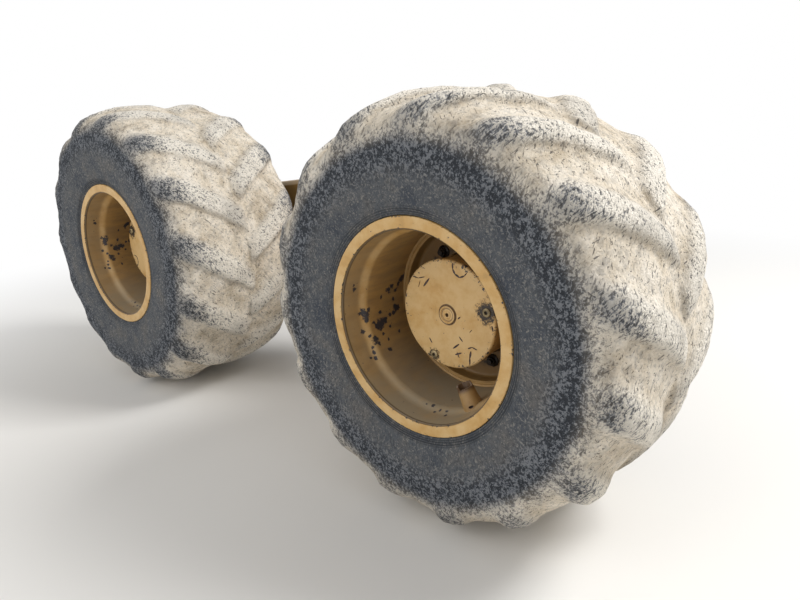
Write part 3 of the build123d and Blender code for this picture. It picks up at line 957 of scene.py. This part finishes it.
def worn_tyre_rubber(end):
    """Tyre rubber, moulded and long worn: matt warm grey with fine crossing scratches, torn into pale fibres
    round the shoulders, pale with dust and painted sunlight on the lugs, and sandy with dried mud between
    them, brightened as painted sunlight."""
    finish = bpy.context.scene.bogie_finish
    material, add, surface, spot, radius, seed = wheel_material(
        "Worn tyre rubber", end, roughness=0.93, specular_ior_level=0.22)
    lug, torn, tread = (add("Attribute", out=2, attribute_name=name) for name in ("lug", "torn", "tread"))
    clouds = add("TexNoise", Vector=spot, W=seed, Scale=per_metre(95), Detail=6.0, Roughness=0.6,
        noise_dimensions="4D")
    grain = add("TexNoise", Vector=spot, Scale=per_metre(6), Detail=4.0, Roughness=0.6)

    # plain rubber, tinted blue-grey and a little darker as painted shade: softly mottled, with fine scratches,
    # pale and dark, that get denser outwards
    colour = add("ValToRGB", clouds, stops=[(0.32, linear("#42474f")), (0.68, linear("#615f5d")), (0.50,
        finish.rubber)])
    high, low = strokes(add, spot, 6.5, 8)
    outwards = add("MapRange", radius, 0.40, 0.60, 0.0, 0.045)
    scratched = add("Math", high, outwards)
    scratch = add("MapRange", scratched, 0.62, 0.74, 0.0, 0.60)
    colour = add("MixRGB", scratch, colour, linear("#96928b"))
    scored = add("MapRange", low, 0.38, 0.31, 0.0, 0.55)
    colour = add("MixRGB", scored, colour, finish.rubber_cut)

    # torn rubber: pale fibres over dark gaps, more of them pale, and paler, the nearer to the tread, from wear
    # and dust and from painted sunlight
    curls = add("TexNoise", Vector=spot, W=seed, Scale=per_metre(24), Detail=0.8, Roughness=0.55,
        Distortion=1.3, noise_dimensions="4D")
    bark = add("Math", curls, 0.55, add("Math", high, low), operation="MULTIPLY_ADD")
    bleached_and_sunlit = add("Math", tread, 0.36, bark, operation="MULTIPLY_ADD")
    bleached_and_sunlit = add("Math", clouds, 0.30, bleached_and_sunlit, operation="MULTIPLY_ADD")
    bleached_and_sunlit = add("MapRange", bleached_and_sunlit, 1.34, 1.74)
    palest = add("Math", tread, 0.65, 0.50, operation="MULTIPLY_ADD")
    bleached_and_sunlit = add("Math", bleached_and_sunlit, palest, operation="MINIMUM")
    ragged = add("ValToRGB", bleached_and_sunlit, stops=[(0.0, finish.rubber_cut), (1.0, finish.rubber_flake), (0.26,
        linear("#4d5259")), (0.50, linear("#7a7d82")), (0.74, linear("#bbb6ad"))])
    shaggy = add("Math", clouds, 0.45, torn, operation="MULTIPLY_ADD")
    shaggy = add("MapRange", shaggy, 0.30, 1.00)
    colour = add("MixRGB", shaggy, colour, ragged)

    # sandy mud in the grooves, a little of it on the lugs, brightened as painted sunlight
    speckled = add("Math", grain, 0.35, clouds, operation="MULTIPLY_ADD")
    mud = add("ValToRGB", speckled, stops=[(0.52, linear("#bdae97")), (0.86, linear("#ece3d5")), (0.68,
        finish.dry_mud)])
    groove = add("MapRange", lug, 0.75, 0.15, 0.22, 0.90)
    lying = add("Math", tread, groove, operation="MULTIPLY")
    patchy = add("MapRange", curls, 0.30, 0.55, 0.6, 1.0)
    lying = add("Math", lying, patchy, operation="MULTIPLY")
    colour = add("MixRGB", lying, colour, mud)

    # short dark nicks all over the tread
    nick = add("MapRange", low, 0.322, 0.292, 0.0, 0.75)
    nick = add("Math", nick, tread, operation="MULTIPLY")
    colour = add("MixRGB", nick, colour, finish.rubber_cut)

    # ribs moulded round the bead, just outside the rim, worn away in places, darker between them
    turn = add("Math", radius, 2 * math.pi / 0.0075, operation="MULTIPLY")
    rib = add("Math", turn, operation="SINE")
    ribbed = between(add, radius, (0.370, 0.374), (0.400, 0.390))
    kept = add("TexNoise", Vector=spot, W=seed, Scale=per_metre(260), Detail=1.0, noise_dimensions="4D")
    kept = add("MapRange", kept, 0.38, 0.55, 0.40, 1.0)
    ribbed = add("Math", ribbed, kept, operation="MULTIPLY")
    trough = add("MapRange", rib, 0.1, -0.8, 0.0, 0.90)
    trough = add("Math", trough, ribbed, operation="MULTIPLY")
    colour = add("MixRGB", trough, colour, finish.rubber_cut)
    link(colour, surface["Base Color"])

    relief = add("Math", add("Math", rib, ribbed, operation="MULTIPLY"), 0.35, operation="MULTIPLY")
    torn_relief = add("Math", bark, shaggy, operation="MULTIPLY")
    for pattern, height in ((torn_relief, 1.25), (grain, 0.22), (clouds, 0.8), (scratch, 0.2), (nick, -0.4)):
        relief = add("Math", pattern, height, relief, operation="MULTIPLY_ADD")
    bump = add("Bump", Height=relief, Distance=0.006, Strength=0.9)
    link(bump, surface["Normal"])
    return material


# Chips in the rim's enamel: angle round the axle in degrees, then distance in from its face and size in mm
RIM_CHIPS = [
    (-175, 98, 17), (-171, 100, 13), (-164, 160, 19), (-165, 188, 13), (-163, 143, 13), (-155, 115, 14),
    (-152, 123, 9), (174, 223, 12), (172, 239, 10), (-171, 257, 14), (-168, 241, 9), (168, 306, 13),
    (170, 291, 11),
    (172, 275, 9), (167, 57, 9), (164, 52, 5), (-163, 81, 8), (-148, 88, 7), (-144, 87, 7), (-145, 69, 6),
    (-151, 92, 6), (-145, 159, 8), (-91, 100, 6), (-79, 93, 6), (-78, 74, 5), (-84, 92, 5), (-177, 111, 8),
    (-157, 159, 7), (-178, 247, 7), (178, 182, 6), (-154, 241, 6), (-152, 174, 5), (-168, 218, 7),
    (176, 262, 7),
    (-160, 205, 6), (-172, 172, 7), (-167, 130, 7), (-159, 98, 6), (-96, 96, 4), (-87, 81, 4),
]


def old_enamel(add, spot, seed, paler=0.0):
    """Brushed-on enamel, uneven and rubbed pale, and its cloud pattern."""
    finish = bpy.context.scene.bogie_finish
    clouds = add("TexNoise", Vector=spot, W=seed, Scale=per_metre(75), Detail=6.0, Roughness=0.62,
        noise_dimensions="4D")
    colour = add("ValToRGB", add("Math", clouds, paler), stops=[(0.32, linear("#a17f4c")), (0.68,
        finish.enamel_worn), (0.50, finish.enamel)])
    return colour, clouds


def finish_enamel(add, surface, colour, spot, clouds, chip):
    """Links colour, gloss and relief; chips lie below the enamel."""
    link(colour, surface["Base Color"])
    gloss = add("Math", clouds, 0.35, 0.30, operation="MULTIPLY_ADD")
    link(gloss, surface["Roughness"])
    grain = add("TexNoise", Vector=spot, Scale=per_metre(6), Detail=4.0)
    relief = add("Math", chip, -5.0, grain, operation="MULTIPLY_ADD")
    bump = add("Bump", Height=relief, Distance=0.00015, Strength=0.6)
    link(bump, surface["Normal"])


def rim_enamel(end):
    """Rim enamel, old and satin: pale on the flange, painted brown shade inside, chipped in a patch, dusty at
    the foot.
    """
    finish = bpy.context.scene.bogie_finish
    material, add, surface, spot, radius, seed = wheel_material("Chipped rim enamel", end)
    depth = add("SeparateXYZ", spot, out=1)
    colour, clouds = old_enamel(add, spot, seed, 0.08)

    # painted shade: browner the deeper inside, with faint streaks along the axle, and lifted where the slope
    # turns into the well, which stays paler
    along = add("VectorMath", spot, (1.0, 0.25, 1.0), operation="MULTIPLY")
    streaks = add("TexNoise", Vector=along, W=seed, Scale=per_metre(28), Detail=5.0, Roughness=0.6,
        noise_dimensions="4D")
    brown = add("MixRGB", add("MapRange", streaks, 0.38, 0.64), linear("#ab8650"), linear("#8e714b"))
    indoors = add("MapRange", depth, 0.004, 0.012)
    deeper = add("MapRange", depth, 0.050, 0.150, 0.62, 0.95)
    rim_shade = add("Math", indoors, deeper, operation="MULTIPLY")
    slope = between(add, depth, (0.074, 0.084), (0.112, 0.102))
    rubbed = add("MapRange", slope, 0.0, 1.0, 1.0, 0.2)
    rim_shade = add("Math", rim_shade, rubbed, operation="MULTIPLY")
    colour = add("MixRGB", rim_shade, colour, brown)

    # grey dust at the foot of the rim, whichever way the wheel is turned
    height = add("SeparateXYZ", add("TexCoord", out=3), out=2)
    centre = axle_point(end).z
    low = add("MapRange", height, centre - 0.12, centre - 0.30)
    low = add("Math", low, indoors, operation="MULTIPLY")
    settled = add("MapRange", clouds, 0.25, 0.50, 0.50, 0.92)
    on_seat = add("MapRange", depth, 0.088, 0.070, 0.0, 0.35)
    film = add("Math", on_seat, indoors, operation="MULTIPLY")
    lying = add("Math", add("Math", low, film, operation="MAXIMUM"), settled, operation="MULTIPLY")
    colour = add("MixRGB", lying, colour, finish.dust)

    # chips down to dark metal, and nicks along the mouth and the flange's edge
    ragged = add("TexNoise", Vector=spot, W=seed, Scale=per_metre(14), Detail=5.0, Roughness=0.66,
        noise_dimensions="4D")
    shift = WHEEL_TURN[end] + (0.2 if end == "rear" else 0.0)
    places = [(around(in_by / 1000, inside_radius(in_by / 1000), math.radians(angle) - shift), size / 1000)
              for angle, in_by, size in RIM_CHIPS]
    chip = blots(add, spot, places, ragged)
    at_face = add("MapRange", depth, 0.008, 0.003)
    at_mouth = add("MapRange", radius, 0.3325, 0.3285)
    at_edge = add("MapRange", radius, 0.3595, 0.3625)
    edge = add("Math", at_face, add("Math", at_mouth, at_edge), operation="MULTIPLY")
    fine = add("TexNoise", Vector=spot, W=seed, Scale=per_metre(11), Detail=4.0, Roughness=0.6,
        noise_dimensions="4D")
    nick = add("Math", edge, 0.10, fine, operation="MULTIPLY_ADD")
    chip = add("Math", chip, add("MapRange", nick, 0.678, 0.703), operation="MAXIMUM")
    colour = add("MixRGB", chip, colour, finish.primer)
    # painted shade and grime: a dark line in the fine step round the mouth
    step = between(add, depth, (0.0018, 0.0030), (0.014, 0.009))
    step = add("Math", step, add("MapRange", radius, 0.330, 0.328, 0.0, 0.8), operation="MULTIPLY")
    colour = add("MixRGB", step, colour, finish.grime)
    finish_enamel(add, surface, colour, spot, clouds, chip)
    return material


def disc_enamel(end):
    """Disc enamel, deep in the rim: brown with painted shade and some rusting, black with grease at the nuts,
    paler at the edge where the painted shade thins.
    """
    finish = bpy.context.scene.bogie_finish
    sizes = bpy.context.scene.bogie_wheel
    material, add, surface, spot, radius, seed = wheel_material("Stained and shaded disc enamel", end)
    depth = add("SeparateXYZ", spot, out=1)
    colour, clouds = old_enamel(add, spot, seed)
    # painted shade, and some rusting: browner from just past the skirt's edge inwards
    inside = add("MapRange", depth, sizes.disc_edge + 0.002, sizes.disc_edge + 0.010, 0.25, 0.75)
    uneven = add("MapRange", clouds, 0.30, 0.60, 0.8, 1.0)
    stain_and_shade = add("Math", inside, uneven, operation="MULTIPLY")
    colour = add("MixRGB", stain_and_shade, colour, linear("#6b4f28"))
    smear = add("TexNoise", Vector=spot, W=seed, Scale=per_metre(38), Detail=4.0, noise_dimensions="4D")
    nuts = sizes.nut_circle
    greasy = between(add, radius, (sizes.hub_radius, nuts - 0.012), (nuts + 0.026, nuts + 0.014))
    greasy = add("Math", greasy, add("MapRange", smear, 0.50, 0.62, 0.0, 0.85), operation="MULTIPLY")
    colour = add("MixRGB", greasy, colour, finish.grime)
    finish_enamel(add, surface, colour, spot, clouds, greasy)
    return material


def cover_enamel(end):
    """Hub cover's enamel: pale and satin, with small chips, most at the edge, and greasy at the plugs."""
    finish = bpy.context.scene.bogie_finish
    material, add, surface, spot, radius, seed = wheel_material("Scratched hub enamel", end)
    colour, clouds = old_enamel(add, spot, seed, 0.13)
    fine = add("TexNoise", Vector=spot, W=seed, Scale=per_metre(9), Detail=4.0, Roughness=0.6,
        noise_dimensions="4D")
    at_edge = add("MapRange", radius, 0.166, 0.184, 0.0, 0.120)
    chip = add("MapRange", add("Math", fine, at_edge), 0.680, 0.710)
    colour = add("MixRGB", chip, colour, finish.primer)
    face = bpy.context.scene.bogie_wheel.hub_face
    smears = [(around(face, distance, angle), size) for (_, distance, angle), size in zip(PLUGS, (0.037, 0.021))]
    calmer = add("MapRange", fine, 0.0, 1.0, 0.22, 0.78)
    colour = add("MixRGB", blots(add, spot, smears, calmer), colour, finish.grime)

    # painted shade in the groove round the boss, in its dish and in its middle
    for inner, outer, amount in ((0.0300, 0.0385, 0.90), (0.0195, 0.0250, 0.75), (-0.0020, 0.0080, 0.95)):
        ring = between(add, radius, (inner, inner + 0.0018), (outer, outer - 0.0018), amount)
        colour = add("MixRGB", ring, colour, finish.rust)
    finish_enamel(add, surface, colour, spot, clouds, chip)
    return material


def guard_enamel(end):
    """Enamel of the torn valve guard: rubbed, darkened to a dull brown as painted shade, and dirtied, darkest at
    the torn top.
    """
    finish = bpy.context.scene.bogie_finish
    material, add, surface, spot, radius, seed = wheel_material("Rubbed guard enamel in painted shade", end)
    colour, clouds = old_enamel(add, spot, seed)
    # painted shade: the whole guard darkened to a dull brown
    colour = add("MixRGB", 0.55, colour, linear("#7c6344"))
    smear = add("TexNoise", Vector=spot, Scale=per_metre(14), Detail=4.0)
    at_top = add("MapRange", radius, 0.266, 0.244)
    dirty = add("Math", smear, 0.30, at_top, operation="MULTIPLY_ADD")
    dirty = add("MapRange", dirty, 0.4, 1.0)
    colour = add("MixRGB", dirty, colour, finish.rust)
    finish_enamel(add, surface, colour, spot, clouds, dirty)
    return material


def plain_metal(name, colour, roughness, metallic, grain_size, depth):
    """Metal with an even grain, a little darker where dirt has settled.

    The grain is drawn 2 to 3 mm wide, coarser than the real one, so that it shows.
    """
    finish = bpy.context.scene.bogie_finish
    material, add, surface = new_material(name, metallic=metallic)
    place = add("TexCoord", out=3)
    clouds = add("TexNoise", Vector=place, Scale=per_metre(25), Detail=4.0)
    grain = add("TexNoise", Vector=place, Scale=per_metre(grain_size), Detail=3.0)
    dirty = add("MapRange", clouds, 0.45, 0.65, 0.0, 0.6)
    link(add("MixRGB", dirty, colour, finish.grime), surface["Base Color"])
    gloss = add("Math", grain, 0.25, roughness, operation="MULTIPLY_ADD")
    link(gloss, surface["Roughness"])
    bump = add("Bump", Height=grain, Distance=depth, Strength=0.6)
    link(bump, surface["Normal"])
    return material


def dark_scar():
    """Bare steel burnt and oiled to a dull purple-brown, at the bottom of gouges."""
    known = bpy.data.materials.get("Scarred steel")
    if known:
        return known
    material, add, surface = new_material("Scarred steel", roughness=0.6)
    place = add("TexCoord", out=3)
    clouds = add("TexNoise", Vector=place, Scale=per_metre(8), Detail=3.0)
    tone = add("ValToRGB", clouds, stops=[(0.4, linear("#2c2020")), (0.65, linear("#55413a"))])
    link(tone, surface["Base Color"])
    return material


def case_enamel():
    """Enamel sprayed over rough castings: satin, dusty on top, darker on faces that look down."""
    known = bpy.data.materials.get("Dusty case enamel")
    if known:
        return known
    finish = bpy.context.scene.bogie_finish
    material, add, surface = new_material("Dusty case enamel")
    place = add("TexCoord", out=3)
    clouds = add("TexNoise", Vector=place, Scale=per_metre(140), Detail=6.0, Roughness=0.6)
    sand = add("TexNoise", Vector=place, Scale=per_metre(5), Detail=3.0)
    uneven = add("MapRange", clouds, 0.35, 0.65)
    colour = add("MixRGB", uneven, finish.case_enamel, linear("#8f6c36"))
    up = add("SeparateXYZ", add("NewGeometry", out=1), out=2)
    topside = add("MapRange", up, 0.2, 0.9, 0.0, 0.8)
    patchy = add("MapRange", clouds, 0.2, 0.6)
    dusty = add("Math", topside, patchy, operation="MULTIPLY")
    colour = add("MixRGB", dusty, colour, finish.dust)
    flaking = add("TexNoise", Vector=place, Scale=per_metre(30), Detail=6.0, Roughness=0.6)
    chip = add("MapRange", flaking, 0.66, 0.68)
    colour = add("MixRGB", chip, colour, finish.primer)
    # darker on faces that look down
    underside = add("MapRange", up, -0.1, -0.9)
    darker_below = add("Math", underside, uneven, operation="MULTIPLY")
    colour = add("MixRGB", darker_below, colour, finish.grime)
    link(colour, surface["Base Color"])
    gloss = add("Math", clouds, 0.3, 0.4, operation="MULTIPLY_ADD")
    link(gloss, surface["Roughness"])
    relief = add("Math", chip, -1.0, sand, operation="MULTIPLY_ADD")
    bump = add("Bump", Height=relief, Distance=0.0007, Strength=0.7)
    link(bump, surface["Normal"])
    return material


def shared_material(name, *settings):
    """A metal that several pieces are made of, made once."""
    return bpy.data.materials.get(name) or plain_metal(name, *settings)


def greasy_steel():
    return shared_material("Greasy forged steel", linear("#2a241f"), 0.30, 0.4, 3, 0.0010)


def plug_steel():
    return shared_material("Zinc-plated steel", linear("#a08f6c"), 0.40, 0.5, 3, 0.0004)


def turned_steel():
    return shared_material("Turned steel", bpy.context.scene.bogie_finish.steel, 0.30, 1.0, 2, 0.0003)


def brass():
    return shared_material("Turned brass", bpy.context.scene.bogie_finish.brass, 0.35, 1.0, 2, 0.0003)


# Operators

class BOGIE_OT_tyres(bpy.types.Operator):
    """Adds both worn tyres"""
    bl_idname = "bogie.tyres"
    bl_label = "Tyres"

    def execute(self, context):
        for end in WHEEL_TURN:
            piece = worn_tyre(end)
            piece.data.transform(wheel_place(end))
            fit(piece, f"{end}_wheel", "tyre", worn_tyre_rubber(end), f"tyre_{end}")
        return {"FINISHED"}


class BOGIE_OT_rims(bpy.types.Operator):
    """Adds both rims"""
    bl_idname = "bogie.rims"
    bl_label = "Rims"

    def execute(self, context):
        fit_wheels(rim(), "wheel_paint", rim_enamel, "rim")
        return {"FINISHED"}


class BOGIE_OT_wheel_discs(bpy.types.Operator):
    """Adds both wheel discs"""
    bl_idname = "bogie.wheel_discs"
    bl_label = "Wheel discs"

    def execute(self, context):
        fit_wheels(wheel_disc(), "wheel_paint", disc_enamel, "wheel_disc")
        return {"FINISHED"}


class BOGIE_OT_wheel_nuts(bpy.types.Operator):
    """Adds the nuts, washers and stud ends of both wheels"""
    bl_idname = "bogie.wheel_nuts"
    bl_label = "Wheel nuts"

    def execute(self, context):
        sizes = context.scene.bogie_wheel
        centre = Vector((0, sizes.disc_face, 0))
        nuts = ring_of("wheel_nuts", wheel_nut(), sizes.nuts, sizes.nut_circle, math.radians(130.5), centre)
        fit_wheels(nuts, "bare_steel", greasy_steel())
        return {"FINISHED"}


class BOGIE_OT_hubs(bpy.types.Operator):
    """Adds both hubs"""
    bl_idname = "bogie.hubs"
    bl_label = "Hubs"

    def execute(self, context):
        fit_wheels(hub(), "hub_paint", disc_enamel, "hub")
        return {"FINISHED"}


class BOGIE_OT_hub_covers(bpy.types.Operator):
    """Adds both hub covers, with their gouges"""
    bl_idname = "bogie.hub_covers"
    bl_label = "Hub covers"

    def execute(self, context):
        fit_wheels(hub_cover(), "hub_paint", cover_enamel, "hub_cover")
        return {"FINISHED"}


class BOGIE_OT_hub_plugs(bpy.types.Operator):
    """Adds the level and drain plugs of both hubs"""
    bl_idname = "bogie.hub_plugs"
    bl_label = "Hub plugs"

    def execute(self, context):
        for name, distance, angle in PLUGS:
            fit_wheels(hub_plug(name, distance, angle), "bare_steel", plug_steel(), f"hub_{name}_plug")
        return {"FINISHED"}


class BOGIE_OT_valve_guards(bpy.types.Operator):
    """Adds the valves and the torn guards around them"""
    bl_idname = "bogie.valve_guards"
    bl_label = "Valve guards"

    def execute(self, context):
        fit_wheels(valve_guard(), "wheel_paint", guard_enamel, "valve_guard")
        fit_wheels(valve(), "bare_steel", brass())
        return {"FINISHED"}


class BOGIE_OT_hub_carriers(bpy.types.Operator):
    """Adds the hub carriers and the bolts that hold them to the case"""
    bl_idname = "bogie.hub_carriers"
    bl_label = "Hub carriers"

    def execute(self, context):
        sizes = context.scene.bogie_case
        carrier = hub_carrier()
        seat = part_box("hub_carrier_front")[1].y - axle_point("front").y
        on_flange = Vector((0, seat - CARRIER_FLANGE, 0))
        bolt = hex_bolt(0.019, 0.012)
        bolts = ring_of("carrier_bolts", bolt, sizes.carrier_bolts, CARRIER_CIRCLE, 0, on_flange)
        fit_both(carrier, axle_place, "bogie", "case_paint", case_enamel(), "hub_carrier")
        fit_both(bolts, axle_place, "bogie", "bare_steel", case_enamel())
        return {"FINISHED"}


class BOGIE_OT_gear_case(bpy.types.Operator):
    """Adds the cast gear case"""
    bl_idname = "bogie.gear_case"
    bl_label = "Gear case"

    def execute(self, context):
        fit(gear_case(), "bogie", "case_paint", case_enamel(), "gear_case")
        return {"FINISHED"}


class BOGIE_OT_case_covers(bpy.types.Operator):
    """Adds the case's covers and bearing ring, with their bolts"""
    bl_idname = "bogie.case_covers"
    bl_label = "Case covers"

    def execute(self, context):
        sizes = context.scene.bogie_case
        facing_in = Matrix.Rotation(math.pi, 4, "Z")
        cover = end_cover()
        bolt = hex_bolt(sizes.bolt_width, 0.0095)
        bolts = ring_of("end_cover_bolts", bolt, sizes.cover_bolts, END_COVER_CIRCLE)
        bolts.data.transform(Matrix.Translation((0, 0.018, 0)) @ facing_in)

        def seat(end):
            return Matrix.Translation(face_middle(f"end_cover_{end}"))
        fit_both(cover, seat, "bogie", "case_paint", case_enamel(), "end_cover")
        fit_both(bolts, seat, "bogie", "bare_steel", case_enamel())

        middle = Vector((0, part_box("centre_cover")[1].y, 0))
        cap = centre_cover()
        cap.data.transform(Matrix.Translation(middle))
        fit(cap, "bogie", "case_paint", case_enamel(), "centre_cover")
        bolt = hex_bolt(sizes.bolt_width, 0.012)
        on_rim = middle + Vector((0, -0.014, 0))
        cap_bolts = ring_of("centre_cover_bolts", bolt, sizes.cover_bolts, CENTRE_COVER_CIRCLE, 0, on_rim)
        fit(cap_bolts, "bogie", "bare_steel", case_enamel())

        ring = bearing_ring()
        ring.data.transform(Matrix.Translation(face_middle("bearing_ring")))
        fit(ring, "bogie", "bearing_steel", turned_steel(), "bearing_ring")
        return {"FINISHED"}


class BOGIE_OT_case_plugs(bpy.types.Operator):
    """Adds the oil plugs and the breather"""
    bl_idname = "bogie.case_plugs"
    bl_label = "Case plugs"

    def execute(self, context):
        def seat(end):
            return Matrix.Translation(face_middle(f"oil_plug_{end}", inboard=True))
        fit_both(oil_plug(), seat, "bogie", "bare_steel", greasy_steel(), "oil_plug")
        low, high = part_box("breather")
        cap = breather()
        cap.data.transform(Matrix.Translation(((low.x + high.x) / 2, (low.y + high.y) / 2, low.z))
                           @ Matrix.Rotation(math.radians(90), 4, "X"))
        fit(cap, "bogie", "bare_steel", greasy_steel(), "breather")
        return {"FINISHED"}


class BOGIE_OT_axle_end(bpy.types.Operator):
    """Adds the axle flange and gives the trunnion its finish"""
    bl_idname = "bogie.axle_end"
    bl_label = "Axle end"

    def execute(self, context):
        fit(axle_flange(), "axle_end", "axle_paint", case_enamel(), "axle_flange")
        trunnion = frame["nodes"]["trunnion"]
        trunnion.data.materials.clear()
        trunnion.data.materials.append(turned_steel())
        return {"FINISHED"}


class BOGIE_OT_stage(bpy.types.Operator):
    """Sets the pale floor, the soft lamps and the camera"""
    bl_idname = "bogie.stage"
    bl_label = "Stage"

    def execute(self, context):
        settings = context.scene.bogie_stage
        add_floor(settings)
        add_lamp("Key", settings.key, 2.6, Vector((4.6, 2.2, 5.2)))
        add_lamp("Fill", settings.fill, 5.0, Vector((-1.5, -6.5, 3.2)))
        add_sky(settings)
        add_camera(settings)
        context.scene.view_settings.view_transform = "Standard"
        return {"FINISHED"}


# Stage

def seen_directly(add):
    """1 for rays that the camera sees straight, mirrored or through glass, 0 for those that light the object."""
    paths = add("LightPath").node.outputs
    bent = add("Math", paths["Is Glossy Ray"], paths["Is Transmission Ray"])
    return add("Math", paths["Is Camera Ray"], bent, use_clamp=True)


def add_floor(settings):
    """A pale matt floor that takes the object's shadow, and turns to the background's white further out."""
    low, _ = cad_box
    deselect_all()
    bpy.ops.mesh.primitive_plane_add(size=80, location=(0, 0, low.z - 0.001))
    floor = bpy.context.object
    floor.name = "floor"
    material, add, _ = new_material("Matt floor", base_color=settings.floor, roughness=0.95)
    away = add("VectorMath", add("TexCoord", out=3), out=1, operation="LENGTH")
    far = add("MapRange", away, 2.0, 5.0, interpolation_type="SMOOTHSTEP")
    share = add("Math", far, seen_directly(add), operation="MULTIPLY")
    white = add("Emission", Color=(1, 1, 1, 1))
    nodes = material.node_tree.nodes
    both = add("MixShader", share, nodes["Principled BSDF"].outputs[0], white)
    link(both, nodes["Material Output"].inputs["Surface"])
    floor.data.materials.append(material)


def add_lamp(name, power, size, place):
    lamp = bpy.data.lights.new(name, "AREA")
    lamp.energy, lamp.size = power, size
    holder = bpy.data.objects.new(name, lamp)
    holder.location = place
    holder.rotation_euler = (Vector((0, -0.85, 0)) - place).to_track_quat("-Z", "Y").to_euler()
    bpy.context.collection.objects.link(holder)


def add_sky(settings):
    """White behind the object and in its reflections, and a plain even light on it."""
    world = bpy.data.worlds.new("Studio")
    bpy.context.scene.world = world
    world.use_nodes = True
    add = partial(add_node, world.node_tree)
    background = world.node_tree.nodes["Background"]
    background.inputs["Color"].default_value = (1, 1, 1, 1)
    strength = add("MapRange", seen_directly(add), 0.0, 1.0, settings.sky, 1.0)
    link(strength, background.inputs["Strength"])


def add_camera(settings):
    """The photograph's viewpoint and tilt."""
    place = Vector((2.244, -2.631, 0.623))
    azimuth, down, roll = math.radians(-41.634), math.radians(17.142), math.radians(-2.48)
    ahead = Vector((math.sin(azimuth) * math.cos(down), math.cos(azimuth) * math.cos(down), -math.sin(down)))
    level = Vector((math.cos(azimuth), -math.sin(azimuth), 0))
    upright = level.cross(ahead)
    right = level * math.cos(roll) + upright * math.sin(roll)
    up = upright * math.cos(roll) - level * math.sin(roll)
    camera = bpy.data.objects.new("Camera", bpy.data.cameras.new("Camera"))
    camera.data.lens = settings.lens
    camera.data.sensor_width = 36
    camera.matrix_world = Matrix.Translation(place) @ Matrix((right, up, -ahead)).transposed().to_4x4()
    bpy.context.collection.objects.link(camera)
    bpy.context.scene.camera = camera


OPERATORS = (
    BOGIE_OT_tyres, BOGIE_OT_rims, BOGIE_OT_wheel_discs, BOGIE_OT_wheel_nuts, BOGIE_OT_hubs, BOGIE_OT_hub_covers,
    BOGIE_OT_hub_plugs, BOGIE_OT_valve_guards, BOGIE_OT_hub_carriers, BOGIE_OT_gear_case, BOGIE_OT_case_covers,
    BOGIE_OT_case_plugs, BOGIE_OT_axle_end, BOGIE_OT_stage,
)


class BOGIE_PT_panel(bpy.types.Panel):
    """Lists the bogie's pieces, sizes and colours"""
    bl_label = "Forwarder bogie"
    bl_idname = "BOGIE_PT_panel"
    bl_space_type = "VIEW_3D"
    bl_region_type = "UI"
    bl_category = "Bogie"

    def draw(self, context):
        for operator in OPERATORS:
            self.layout.operator(operator.bl_idname)
        for name, group in PROPERTY_GROUPS.items():
            box = self.layout.box()
            box.label(text=group.__doc__)
            for key in group.__annotations__:
                box.prop(getattr(context.scene, name), key)


def register():
    for group in PROPERTY_GROUPS.values():
        bpy.utils.register_class(group)
    for operator in OPERATORS:
        bpy.utils.register_class(operator)
    bpy.utils.register_class(BOGIE_PT_panel)
    for name, group in PROPERTY_GROUPS.items():
        setattr(bpy.types.Scene, name, PointerProperty(type=group))


def unregister():
    for name in PROPERTY_GROUPS:
        delattr(bpy.types.Scene, name)
    bpy.utils.unregister_class(BOGIE_PT_panel)
    for operator in reversed(OPERATORS):
        bpy.utils.unregister_class(operator)
    for group in reversed(list(PROPERTY_GROUPS.values())):
        bpy.utils.unregister_class(group)


def main():
    """Registers the add-on and calls its operators, the stage first."""
    register()
    for operator in (OPERATORS[-1], *OPERATORS[:-1]):
        getattr(bpy.ops.bogie, operator.bl_idname.split(".")[1])()


if __name__ == "__main__":
    main()
